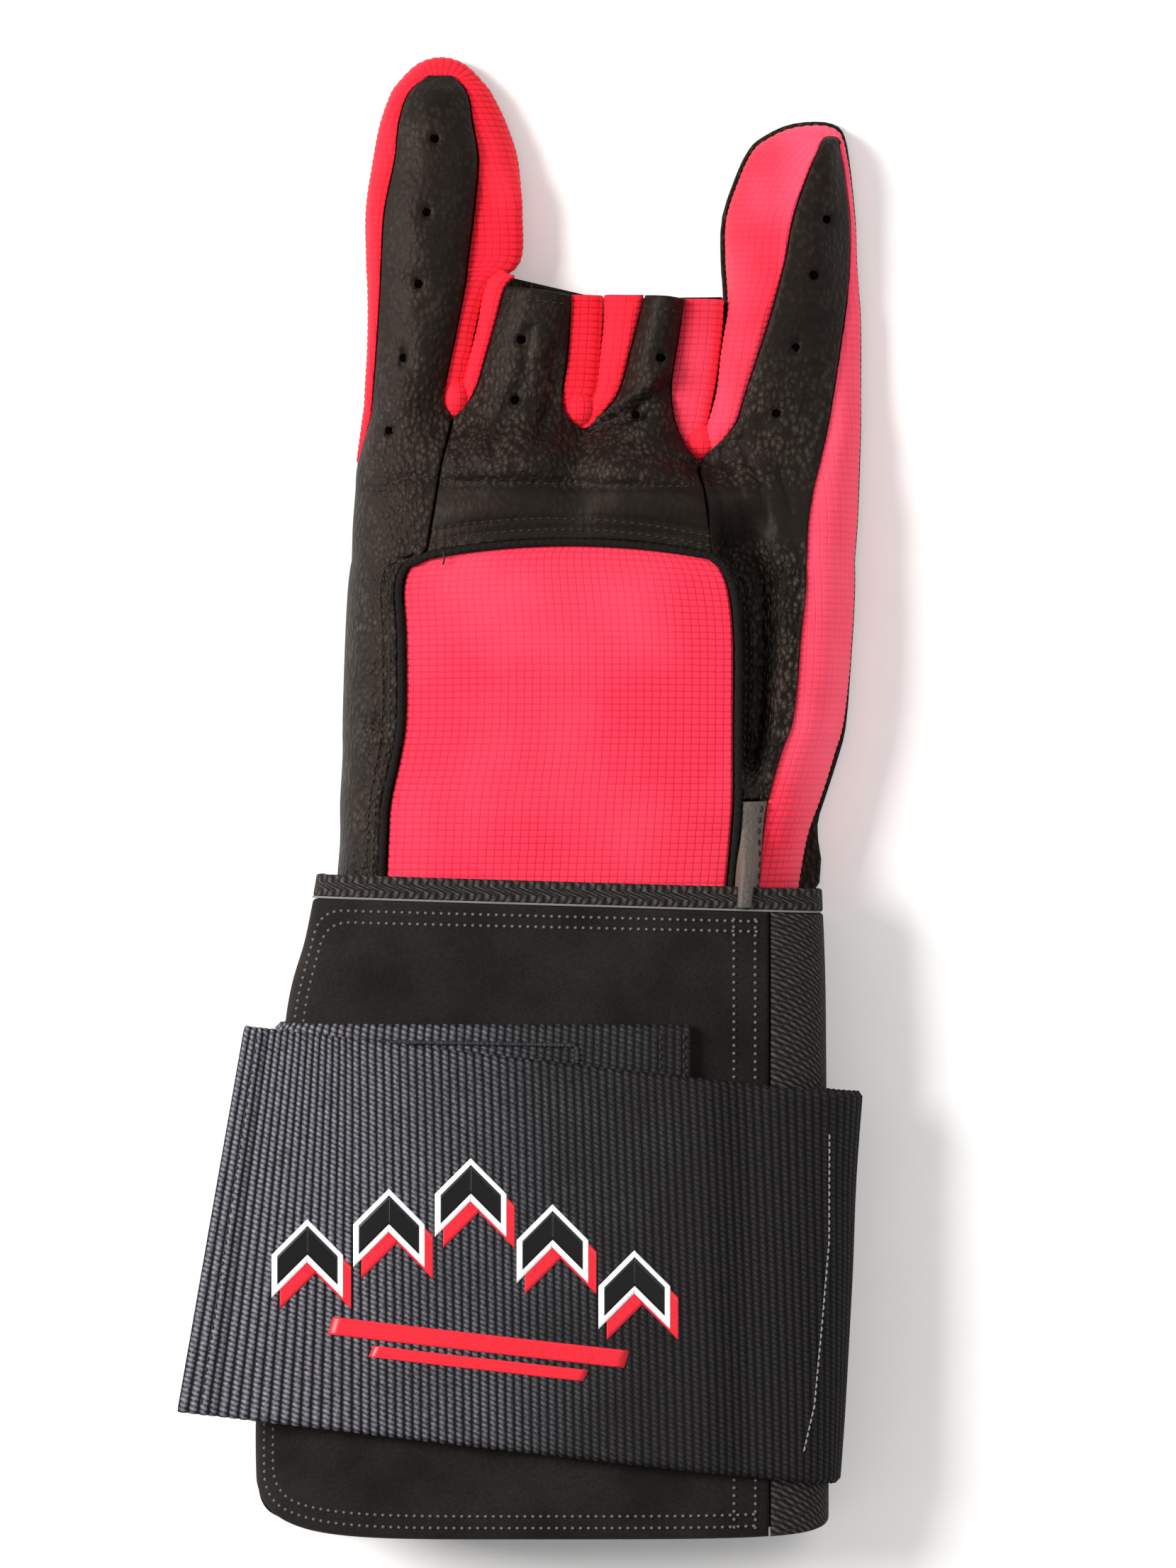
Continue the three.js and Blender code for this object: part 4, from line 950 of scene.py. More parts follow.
# The same columns for the ring finger
RING_ROWS = np.array([
    [0.135, -0.05, 0.352, -0.34, 0.124, 0.346, 0.75, 0.80, 0.33],
    [0.165, 0.06, 0.322, -0.20, 0.132, 0.350, 0.78, 0.78, 0.28],
    [0.190, 0.20, 0.302, -0.02, 0.150, 0.362, 0.80, 0.80, 0.24],
    [0.208, 0.44, 0.296, 0.24, 0.158, 0.375, 0.80, 0.80, 0.24],
    [0.224, 0.68, 0.309, 0.58, 0.164, 0.388, 0.80, 0.80, 0.24],
    [0.240, 0.93, 0.322, 0.90, 0.168, 0.392, 0.80, 0.80, 0.24],
])
# Bottom of each V between two fingers: top X, top Y, bottom X, bottom Y, seam height
FIRST_WEB = [-0.138, 0.998, -0.131, 1.012, 0.70]
SECOND_WEB = [0.120, 0.975, 0.118, 0.992, 0.72]
THIRD_WEB = [0.354, 0.903, 0.352, 0.920, 0.72]
FIELD_SPLIT = 0.5
MIDDLE_KNUCKLE_LINE = [(-17, 79.8), (6, 79.5), (17.3, 79.0), (34, 78.8)]
MIDDLE_VENTS = [(-0.3, 108.1), (-1.4, 96.2), (27.3, 104.5), (22.4, 93.1)]
RING_CREASE = [(29.5, 99.4), (25, 96), (21.5, 93.4), (17.3, 91.9), (13.5, 90.6)]
MIDDLE_CREASES = [
    [(1.5, 110), (0.5, 101), (-3.5, 92), (-6, 85)], [(6.5, 106), (6, 97), (3.5, 89)],
    [(-8.5, 99), (-10.5, 91), (-12, 84)]]


def half_finger(rows, u, v):
    """Between the two seams of a half finger, crowned by a parabola."""
    row = row_at(rows, u)
    left_x, left_y, right_x, right_y, _, _, left_seam, right_seam, crown = np.moveaxis(row, -1, 0)
    lift = (mix(left_seam, right_seam, v) + crown * 4 * v * (1 - v)) * FINGER_HEIGHT
    y = HAND_LENGTH + mix(left_y, right_y, v) * HALF_FINGER_LENGTH
    return np.stack([mix(left_x, right_x, v) * HAND_WIDTH, y, lift], -1)


def web_line(v):
    """The foot of both half fingers, drawn to one point at the bottom of the V between them."""
    foot = np.where(
        (v <= FIELD_SPLIT)[..., None],
        half_finger(MIDDLE_ROWS, np.zeros_like(v), np.minimum(v / FIELD_SPLIT, 1)),
        half_finger(RING_ROWS, np.zeros_like(v), np.clip((v - FIELD_SPLIT) / (1 - FIELD_SPLIT), 0, 1)))
    web = np.array([SECOND_WEB[0] * HAND_WIDTH, SECOND_WEB[1] * HAND_LENGTH, SECOND_WEB[4] * FINGER_HEIGHT])
    nearness = np.maximum(0, 1 - np.abs(v - FIELD_SPLIT) * 12)[..., None]
    return mix(foot, web, nearness)


web_share = len(HAND_ROWS) / (len(index_sections) - 1)
little_web_share = (len(HAND_ROWS) - 1) / (len(little_sections) - 1)


def field_seams(u):
    """The seams to the index leather and to the little leather."""
    left = row_at(index_sections, mix(window_share, web_share, u))
    right = row_at(little_sections, mix(little_window_share, little_web_share, u))
    return left[..., [3, 0, 4]], right[..., [1, 0, 2]]


def middle_relief(points):
    """Folds, the roll above the window, the ring finger's crease with the ridge above it, and vents."""
    x, y = points[..., 0], points[..., 1]
    relief = leather_folds(x, y, 37) * ramp(64, 80, y)
    relief -= 0.7 * near_line(x, y, MIDDLE_KNUCKLE_LINE, 1.1)
    relief += 0.7 * bump(y, 74.2, 3.2) + 0.45 * bump(y, 84.5, 3.5)
    relief -= 2.0 * near_line(x, y, RING_CREASE, 1.5)
    relief += 1.1 * near_line(x - 0.6, y - 3.8, RING_CREASE, 2.0)
    for crease in MIDDLE_CREASES:
        relief -= 0.8 * near_line(x, y, crease, 1.3)
    relief -= vent_dents(x, y, MIDDLE_VENTS)
    points = points.copy()
    points[..., 2] += relief
    return points


def field_surface(u, v):
    """Blend between four lines, the two seams, the window's top and the webs, less the corners' share."""
    left, right = field_seams(u)
    sides = mix(left, right, v[..., None])
    ends = mix(window_point(np.ones_like(v), v), web_line(v), u[..., None])
    left0, right0 = field_seams(np.zeros_like(u))
    left1, right1 = field_seams(np.ones_like(u))
    corners = mix(mix(left0, right0, v[..., None]), mix(left1, right1, v[..., None]), u[..., None])
    points = middle_relief(sides + ends - corners)
    points[..., 2] -= row_pucker(points[..., 1] - window_point(np.ones_like(v), v)[..., 1], points[..., 0])
    return points


u, v, distances = laid_grid(field_surface, 44, 96, left=0.04, right=0.04, start=BINDING_TRIM)
field = turned_edges(field_surface(u, v), distances, ["left", "right", "start"], 0.6)
last_v = v[-1]
middle_half = last_v <= FIELD_SPLIT + 1e-6
# Closer places at the open end let its turned edge round over
half_u = np.concatenate([np.linspace(0, 1, 60)[:-1], [0.988, 0.994, 0.998, 1.0]])[:, None]
fingers = []
for rows, of_this in ((MIDDLE_ROWS, middle_half), (RING_ROWS, ~middle_half)):
    if rows is RING_ROWS:
        # Both half fingers start from the column at the bottom of the V
        of_this = of_this.copy()
        of_this[np.flatnonzero(middle_half)[-1]] = True
    local = (last_v[of_this] - last_v[of_this][0]) / np.ptp(last_v[of_this])
    hu, hv = np.broadcast_arrays(half_u, local[None])
    points = middle_relief(half_finger(rows, hu, hv))
    wide = line_length(lambda t: half_finger(rows, hu, np.full_like(hu, t)))
    edge_distances = {"left": hv * wide, "right": (1 - hv) * wide,
                      "end": (1 - hu) * HALF_FINGER_LENGTH}
    points = turned_edges(points, edge_distances, ["left", "right", "end"], 0.6)
    points[0] = field[-1, of_this]
    fingers.append((points, np.stack([hv, hu], -1)))
middle_back = sewn_wall("middle_back", [(field, np.stack([v, u], -1)), *fingers], LEATHER,
                        black_leather, grain=hand_grain)
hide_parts("middle_leather")


def half_finger_surface(rows):
    """The surface of one half finger, with its relief."""
    return lambda u, v: middle_relief(half_finger(rows, u, v))


def middle_height(x, y):
    """Height of the leather below the webs, and past them on the half finger at x."""
    if y < HAND_LENGTH + 2:
        return height_on(field_surface, (0.5, 1.0))(x, y)
    rows = MIDDLE_ROWS if x < SECOND_WEB[0] * HAND_WIDTH else RING_ROWS
    return height_on(half_finger_surface(rows), (0.0, 1.0))(x, y)


hole_shade_discs("middle_vent_shade", middle_height, MIDDLE_VENTS)

FIELD_LONG = 23.0
HEM_INSET = 2.2
top_v = np.linspace(0.0, 1.0, 120)
ku, kv = places_of(field_surface, smooth_line(MIDDLE_KNUCKLE_LINE, 60), (0.2, 0.9))
hem_v = np.linspace(0.06, 0.94, 30)


def hem_line(rows):
    """A row of stitches just inside the open end of a half finger."""
    hem_u = np.full_like(hem_v, 1 - HEM_INSET / HALF_FINGER_LENGTH)
    return line_on(half_finger_surface(rows), hem_u, hem_v)


thread_stitches("middle_stitches", [
    line_on(field_surface, ku, kv),
    *(line_on(field_surface, np.full_like(top_v, (d + BINDING_TRIM) / FIELD_LONG), top_v)
      for d in WINDOW_ROWS),
    hem_line(MIDDLE_ROWS), hem_line(RING_ROWS)], STITCH_PITCH, THREAD, black_thread)


# Side strips
# The same red knit between the back and the palm leather, standing on the palm's outline and rounded
# over by what little air is left in the fingers. It folds in on itself at the bottom of each V.

def strip_surface(stations, u, v, power=2.0):
    """Quarter superellipse from the palm's outline, v 0, up and in to just under the leather's edge, v 1.
    A higher power gives a fuller corner."""
    top_x, top_y, top_z, bottom_x, bottom_y = np.moveaxis(row_at(stations, u), -1, 0)
    turn = (1 - v) * np.pi / 2
    out, down = np.sin(turn) ** (2 / power), 1 - np.abs(np.cos(turn)) ** (2 / power)
    top = np.maximum(top_z - LEATHER * 0.55, SOLE_TOP + GAP)
    return np.stack([mix(top_x, bottom_x, out), mix(top_y, bottom_y, out), mix(top, SOLE_TOP, down)], -1)


def finger_stations(rows, base, length, side):
    """Stations up one side of a closed finger: top x, y, z and bottom x, y in mm."""
    top, bottom, seam = ((2, 1, 5) if side == "left" else (3, 4, 6))
    y = base + rows[:, 0] * length
    return np.stack([rows[:, top] * HAND_WIDTH, y, rows[:, seam] * FINGER_HEIGHT,
                     rows[:, bottom] * HAND_WIDTH, y], 1)


def tip_stations(rows, base, length):
    """Stations round a closed tip."""
    return np.stack([rows[:, 0] * HAND_WIDTH, base + rows[:, 1] * length, rows[:, 4] * FINGER_HEIGHT,
                     rows[:, 2] * HAND_WIDTH, base + rows[:, 3] * length], 1)


def half_stations(rows, side):
    """Stations up one side of an open half finger."""
    x, y, bottom, seam = ((0, 1, 4, 6) if side == "left" else (2, 3, 5, 7))
    along = HAND_LENGTH + rows[:, y] * HALF_FINGER_LENGTH
    return np.stack([rows[:, x] * HAND_WIDTH, along, rows[:, seam] * FINGER_HEIGHT,
                     rows[:, bottom] * HAND_WIDTH, along], 1)


def web_station(web):
    """The one station at the bottom of a V."""
    x, y, low_x, low_y, seam = web
    return np.array([[x * HAND_WIDTH, y * HAND_LENGTH, seam * FINGER_HEIGHT,
                      low_x * HAND_WIDTH, low_y * HAND_LENGTH]])


def hand_stations(rows):
    """Stations up the little side of the hand, on the red seam and the outer edge."""
    y = rows[:, 0] * HAND_LENGTH
    return np.stack([rows[:, 4] * HAND_WIDTH, y, back_height(rows[:, 4], rows[:, 0]),
                     rows[:, 5] * HAND_WIDTH, y], 1)


little_base = LITTLE_WEB * HAND_LENGTH
# The index finger's strip starts as a sliver at the finger's foot
sliver_end = [[-0.3295 * HAND_WIDTH, 0.908 * HAND_LENGTH, 0.16 * FINGER_HEIGHT,
               -0.331 * HAND_WIDTH, 0.908 * HAND_LENGTH]]
# The middle finger's strip stands past the leather as a small rounded lobe
lobe_end = [[-1.6, HAND_LENGTH + 1.08 * HALF_FINGER_LENGTH, 0.74 * FINGER_HEIGHT,
             -3.8, HAND_LENGTH + 1.10 * HALF_FINGER_LENGTH]]
index_stations = np.concatenate([
    sliver_end,
    finger_stations(INDEX_ROWS, HAND_LENGTH, INDEX_LENGTH, "left"),
    tip_stations(INDEX_TIP, HAND_LENGTH, INDEX_LENGTH),
    finger_stations(INDEX_ROWS[1:], HAND_LENGTH, INDEX_LENGTH, "right")[::-1],
    web_station(FIRST_WEB),
    half_stations(MIDDLE_ROWS[1:], "left"),
    lobe_end])
middle_stations = np.concatenate([
    half_stations(MIDDLE_ROWS[1:], "right")[::-1],
    web_station(SECOND_WEB),
    half_stations(RING_ROWS[1:], "left")])
little_stations = np.concatenate([
    half_stations(RING_ROWS[1:], "right")[::-1],
    web_station(THIRD_WEB),
    finger_stations(LITTLE_ROWS[1:], little_base, LITTLE_LENGTH, "left"),
    tip_stations(LITTLE_TIP, little_base, LITTLE_LENGTH),
    finger_stations(LITTLE_ROWS, little_base, LITTLE_LENGTH, "right")[::-1],
    hand_stations(HAND_ROWS[:-1])[::-1]])


def side_strip(name, stations, node, puffs, material):
    """Knits one strip: a fine grid on its quarter ellipse, pushed out by the waffle of the knit. Its places
    are spaced by its real length, so that the cushions keep their size. puffs are (from, to, mm): shares of
    the length where the knit is folded in and rolls out over the palm's edge."""
    fine_u = np.linspace(0, 1, 900)
    middle_line = strip_surface(stations, fine_u, np.full(900, 0.6))
    far = np.concatenate([[0], np.cumsum(np.linalg.norm(np.diff(middle_line, axis=0), axis=1))])
    cells_long = int(round(far[-1] / KNIT_RIB))
    even_u = np.interp(np.linspace(0, far[-1], cells_long * 3 + 1), far, fine_u)
    u, v = np.meshgrid(even_u, np.linspace(0, 1, 49), indexing="ij")
    ribs_up = np.linspace(0, cells_long, cells_long * 3 + 1)[:, None] + 0 * v
    share = ribs_up / cells_long
    rolled = sum(mm * ramp(start - 0.03, start + 0.02, share) * (1 - ramp(end - 0.02, end + 0.03, share))
                 for start, end, mm in puffs)
    points = strip_surface(stations, u, v, 2.2 + 2.5 * np.minimum(1, rolled))
    cloth = np.stack([run_along(points) / KNIT_COLUMN, ribs_up], -1)
    waves = 0.35 * soft_noise(ribs_up, v * 9, 6, 51) * np.sin(np.pi * v)
    outward = grid_normals(points) * [1, 1, 0]
    relief = cushions(cloth[..., 0], cloth[..., 1], 0.14) + waves
    points = points + grid_normals(points) * (relief * ramp(0, 0.06, v))[..., None]
    points = points + outward * (rolled * np.sin(np.pi * np.clip(v * 1.1, 0, 1)))[..., None]
    made = sewn_wall(name, [(points, cloth)], KNIT, material)
    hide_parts(node)


# The strips of the first three fingers were cut from a deeper red roll
deep_knit = waffle_knit("deep_red_waffle_knit", "#a60a1c", "#f5162b", "#fb3146")
side_strip("index_side", index_stations, node="index_fourchette",
           puffs=[(0.6, 1.1, 1.0)], material=deep_knit)
side_strip("middle_side", middle_stations, node="middle_fourchette",
           puffs=[(-0.1, 1.1, 1.0)], material=deep_knit)
# The little finger's side has faded where it faces the light
side_knit = waffle_knit("faded_red_waffle_knit", "#a60a1e", "#ee1c34", "#ff5c78", faded=(0.050, 0.062))
side_strip("little_side", little_stations, node="little_fourchette",
           puffs=[(-0.1, 0.24, 1.0)], material=side_knit)


# The bottom of each V: X, Y and half width of the small round fold that the bunched knit makes over the
# leather's corner
WEB_FOLDS = [(-13.3, 96.6, 3.1), (11.0, 94.8, 4.0), (35.0, 88.0, 4.2)]
FOLD_LONG, FOLD_FOOT, FOLD_TALL = 4.2, 8.6, 4.0


def bunched_fold(x, y, half_width):
    """Upper half of an ellipsoid that lies along Y, with the waffle of the knit."""
    turn, over = np.meshgrid(np.linspace(-1.48, 1.48, 22), np.linspace(0, np.pi, 25), indexing="ij")
    points = np.stack([x - half_width * np.cos(over) * np.cos(turn), y + FOLD_LONG * np.sin(turn),
                       FOLD_FOOT + FOLD_TALL * np.sin(over) * np.cos(turn)], -1)
    cloth = np.stack([over * half_width / KNIT_COLUMN, turn * FOLD_LONG / KNIT_RIB], -1)
    relief = cushions(cloth[..., 0], cloth[..., 1], 0.14)
    return points + grid_normals(points) * relief[..., None], cloth


sewn_wall("web_folds", [bunched_fold(*fold) for fold in WEB_FOLDS], 0.6, deep_knit)


# Palm leather
# A flat goatskin palm with all four fingers, pressed on the table. Its seam allowance shows as a black edge
# round the little finger, and it flares out at the cuff. The thumb goes through a plain hole.

THUMB_CENTRE = (HAND_ROWS[4, 1] * HAND_WIDTH + 19.5, 0.45 * HAND_LENGTH)
THUMB_RADII = (12.0, 19.0)
PALM_MARGIN = 1.0
PALM_ROUND = 0.4
CUFF_FLARE = 3.2


def outline_points(stations, steps):
    """The lower edge of a side strip as places (x, y)."""
    return row_at(stations, np.linspace(0, 1, steps + 1))[:, 3:5]


outline = np.concatenate([
    np.stack([HAND_ROWS[:, 1] * HAND_WIDTH, HAND_ROWS[:, 0] * HAND_LENGTH], 1),
    outline_points(index_stations, 90), outline_points(middle_stations, 40),
    outline_points(little_stations, 110)])
ahead, behind = np.roll(outline, -1, axis=0), np.roll(outline, 1, axis=0)
heading = (ahead - behind) / np.linalg.norm(ahead - behind, axis=1, keepdims=True)
# The allowance shows from the third V on, less so down the outer side, and widens into the flare
margin = PALM_MARGIN * ramp(35.5, 38.5, outline[:, 0]) * (1 - 0.75 * ramp(62, 66, outline[:, 0])) - PALM_ROUND
margin += CUFF_FLARE * (outline[:, 0] > 0) * (1 - ramp(3, 15, outline[:, 1]))
palm_curve = bpy.data.curves.new("palm", "CURVE")
palm_curve.dimensions = "2D"
palm_curve.fill_mode = "BOTH"
hole_turn = np.linspace(0, 2 * np.pi, 48, endpoint=False)
hole = np.stack([THUMB_CENTRE[0] + THUMB_RADII[0] * np.cos(hole_turn),
                 THUMB_CENTRE[1] + THUMB_RADII[1] * np.sin(hole_turn)], 1)
for ring_points in (outline + margin[:, None] * np.stack([-heading[:, 1], heading[:, 0]], 1), hole):
    spline = palm_curve.splines.new("POLY")
    spline.points.add(len(ring_points) - 1)
    flat_points = np.column_stack([
        (ring_points + ORIGIN[:2]) / 1000, np.zeros(len(ring_points)), np.ones(len(ring_points))])
    spline.points.foreach_set("co", flat_points.ravel())
    spline.use_cyclic_u = True
palm_curve.extrude = (LEATHER / 2 - PALM_ROUND) / 1000
palm_curve.bevel_depth = PALM_ROUND / 1000
palm_curve.bevel_resolution = 2
palm_former = bpy.data.objects.new("palm_former", palm_curve)
bpy.context.scene.collection.objects.link(palm_former)
bpy.context.view_layer.update()
palm_mesh = bpy.data.meshes.new_from_object(palm_former.evaluated_get(bpy.context.evaluated_depsgraph_get()))
bpy.data.objects.remove(palm_former)
shape = bmesh.new()
shape.from_mesh(palm_mesh)
bmesh.ops.remove_doubles(shape, verts=shape.verts, dist=1e-6)
shape.to_mesh(palm_mesh)
shape.free()
lift = np.zeros(len(palm_mesh.vertices) * 3)
palm_mesh.vertices.foreach_get("co", lift)
lift = lift.reshape(-1, 3)
lift[:, 2] += LEATHER / 2000
palm_mesh.vertices.foreach_set("co", lift.ravel())
palm_mesh.name = "palm"
palm_grain = palm_mesh.attributes.new("grain", "FLOAT", "POINT")
palm_grain.data.foreach_set("value", np.full(len(palm_mesh.vertices), 0.7, dtype=np.float32))
palm_mesh.materials.clear()
palm_mesh.materials.append(black_leather)
palm = bpy.data.objects.new("palm", palm_mesh)
bpy.context.scene.collection.objects.link(palm)
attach(palm, "root")
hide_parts("palm_leather")


# Cuff
# A stiff wrist cuff: a suede panel with two rows of grey stitches round it, a twill elastic down the
# right side, a woven band over the seam to the hand, and plain suede underneath.

CUFF_LENGTH = 128.0
CUFF_HEIGHT = 26.5
CUFF_LAP = 2.5
BAND_WIDTH = 4.5
CORNER_ROUND = 11.0
SUEDE = 1.8
STRAP_LAYER = 2.0
CUFF_BASE = 2.0
FLAT_CUT = 0.5
ELASTIC_EDGE = 0.488
FLOOR_RIGHT, FLOOR_LEFT = 0.115, 0.885
BAND_RIGHT, BAND_LEFT = 0.16, 0.84
SEAM_IN_RING = 0.0005
# share of CUFF_LENGTH, X shares, height share
CUFF_ROWS = np.array([
    [-0.03, -0.405, 0.592, 1.00],
    [0.08, -0.430, 0.597, 1.03],
    [0.20, -0.465, 0.600, 1.06],
    [0.50, -0.500, 0.602, 1.09],
    [0.80, -0.525, 0.605, 1.10],
    [1.00, -0.525, 0.605, 1.10],
])


def cuff_ring(t, y, offset=0.0):
    """Ring round the cuff: t is 0 in the middle of the underside, 0.25 right, 0.5 on top and 0.75 left.
    It is a superellipse of power 3 above and 5 below, moved out along its normal by offset."""
    _, left, right, height = np.moveaxis(row_along(CUFF_ROWS, -y / CUFF_LENGTH), -1, 0)
    middle, half = HAND_WIDTH * (left + right) / 2, HAND_WIDTH * (right - left) / 2
    tall = height * CUFF_HEIGHT - CUFF_BASE

    def at(place):
        angle = (place - 0.25) * 2 * np.pi
        across, up = np.cos(angle), np.sin(angle)
        power = np.where(up < 0, 5, 3)
        reach = (np.abs(across) ** power + np.abs(up) ** power) ** (-1 / power)
        z = CUFF_BASE + np.maximum(0, tall / 2 * (1 + up * reach) - FLAT_CUT)
        return middle + half * across * reach, z

    x, z = at(t)
    ahead, behind = at(t + 0.004), at(t - 0.004)
    run, rise = ahead[0] - behind[0], ahead[1] - behind[1]
    long = np.hypot(run, rise)
    return np.stack([x + rise / long * offset, y + 0 * x, z - run / long * offset], -1)


def top_place(x, y):
    """Place round the ring where its top reaches a given x."""
    _, left, right, _ = np.moveaxis(row_along(CUFF_ROWS, -y / CUFF_LENGTH), -1, 0)
    s = np.clip((x - HAND_WIDTH * (left + right) / 2) / (HAND_WIDTH * (right - left) / 2), -1, 1)
    return 0.25 + np.arctan2((1 - np.abs(s) ** 3) ** (1 / 3), s) / (2 * np.pi)


def opening_y(t):
    """The opening's edge, drawn back where it turns down at the two sides."""
    side = np.abs(np.sin((t - 0.5) * 2 * np.pi))
    return -CUFF_LENGTH + np.where(t > 0.5, CORNER_ROUND, CORNER_ROUND / 4) * side ** 6


band_end = CUFF_LAP - BAND_WIDTH
panel_start = band_end - GAP
# The band was sewn on a little askew: it drops by this share of the way from left to right
BAND_SLOPE = 0.03
BAND_SLOPE_FROM = -40.0


def askew(points, share):
    """Lets the places near the band follow its slope, by a share that is 1 at the band."""
    points = points.copy()
    points[..., 1] -= BAND_SLOPE * (points[..., 0] - BAND_SLOPE_FROM) * share
    return points


def cuff_surface(start, end, y_start, relief=None):
    """A part of the cuff between two places round it: u runs from the hand to the opening."""
    def surface(u, v):
        y = mix(y_start, -CUFF_LENGTH, u)
        from_t = start(y) if callable(start) else start
        to_t = end(y) if callable(end) else end
        t = mix(from_t + SEAM_IN_RING, to_t - SEAM_IN_RING, v)
        at_y = mix(y_start, opening_y(t % 1), u)
        return askew(cuff_ring(t, at_y, relief(t, at_y) if relief else 0.0), (1 - np.minimum(1, 4 * u)) ** 2)
    return surface


# Black suede: a short nap that drinks the light, with finger-marked patches a shade lighter
black_suede, tree, shader = new_material("black_suede")
place = add_node(tree, "ShaderNodeTexCoord").outputs["Object"]
nap = add_node(tree, "ShaderNodeTexNoise", {
    "Vector": place, "Scale": 1700.0, "Detail": 4.0, "Roughness": 0.7})
marks = add_node(tree, "ShaderNodeTexNoise", {"Vector": place, "Scale": 70.0, "Detail": 3.0})
patch = calc(tree, "MULTIPLY", nap.outputs["Fac"], marks.outputs["Fac"])
shade = add_node(tree, "ShaderNodeMapRange", {"Value": patch, "From Min": 0.1, "From Max": 0.45})
colour = blend(tree, shade.outputs["Result"], linear("#0c0a09"), linear("#221e1b"))
tree.links.new(colour, shader.inputs["Base Color"])
relief = add_node(tree, "ShaderNodeBump", {
    "Strength": 0.5, "Distance": 0.00015, "Height": nap.outputs["Fac"]})
tree.links.new(relief.outputs["Normal"], shader.inputs["Normal"])
shader.inputs["Roughness"].default_value = 0.95
shader.inputs["Sheen Weight"].default_value = 0.03
shader.inputs["Sheen Roughness"].default_value = 0.6
shader.inputs["Specular IOR Level"].default_value = 0.1


def elastic_place(y):
    """Place round the ring of the seam between panel and elastic."""
    return top_place(np.full(np.shape(y), ELASTIC_EDGE * HAND_WIDTH), y)


def panel_relief(t, y):
    """Broad buckles of the stiffened panel."""
    return 0.35 * soft_noise(t * 260, y, 26, 61)


panel_surface = cuff_surface(elastic_place, FLOOR_LEFT, panel_start, panel_relief)
u, v, distances = laid_grid(panel_surface, 150, 150)
points = turned_edges(panel_surface(u, v), distances, ["left", "right", "start", "end"], 0.9)
wrist_panel = sewn_wall("wrist_panel", [(points, np.stack([v, u], -1))], SUEDE, black_suede,
                        floor=CUFF_BASE)
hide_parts("cuff_panel")

underside_surface = cuff_surface(FLOOR_LEFT, 1 + FLOOR_RIGHT, HAND_ROWS[0, 0] * HAND_LENGTH - GAP)
u, v, distances = laid_grid(underside_surface, 60, 50)
points = underside_surface(u, v)
wrist_underside = sewn_wall("wrist_underside", [(points, np.stack([v, u], -1))], SUEDE, black_suede,
                            floor=0)
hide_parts("cuff_underside")

# The panel's stitches: two rows round its top, left and lower edges, and two down its right side
grey_thread = waxed_thread("grey_thread", "#6b6762")
PANEL_ROWS = [2.3, 4.6]
PANEL_RIGHT_ROWS = [3.0, 7.2]
LEFT_ROW_INSET = 0.3


def panel_line(inset):
    """A stitch row as places (t, y): along the top, down the left side and along the opening, with round
    corners."""
    top, right_x = panel_start - inset, ELASTIC_EDGE * HAND_WIDTH - 2.0
    left_y = np.linspace(top, -CUFF_LENGTH + 5 + inset, 40)
    left_x = HAND_WIDTH * row_along(CUFF_ROWS, -left_y / CUFF_LENGTH)[..., 1] + LEFT_ROW_INSET + 0.75 * inset
    low_x = np.linspace(left_x[-1] + 1, right_x, 60)
    low_y = opening_y(top_place(low_x, np.full(60, -CUFF_LENGTH))) + inset
    line = smooth_line(np.concatenate([
        [[right_x, top]], np.stack([left_x, left_y], 1), np.stack([low_x, low_y], 1)]), 1200)
    line = rounded_corners(line, 41)
    return np.stack([top_place(line[:, 0], line[:, 1]), line[:, 1]], 1)


def on_ring(places):
    """Points and outward normals of places (t, y) on the cuff."""
    t, y = places.T
    near_band = (1 - np.clip((panel_start - y) / (panel_start + CUFF_LENGTH) * 4, 0, 1)) ** 2
    base = askew(cuff_ring(t, y, panel_relief(t, y)), near_band)
    out = askew(cuff_ring(t, y, panel_relief(t, y) + 1.0), near_band)
    return base, out - base


right_lines = [np.stack([
    top_place(np.full(140, ELASTIC_EDGE * HAND_WIDTH - inset), np.linspace(panel_start, -CUFF_LENGTH, 140)),
    np.linspace(panel_start - 1, -CUFF_LENGTH + 1, 140)], 1) for inset in PANEL_RIGHT_ROWS]
thread_stitches("panel_stitches", [
    *(on_ring(panel_line(inset)) for inset in PANEL_ROWS), *(on_ring(line) for line in right_lines)],
    pitch=1.55, thickness=0.6, material=grey_thread, cover=0.5)


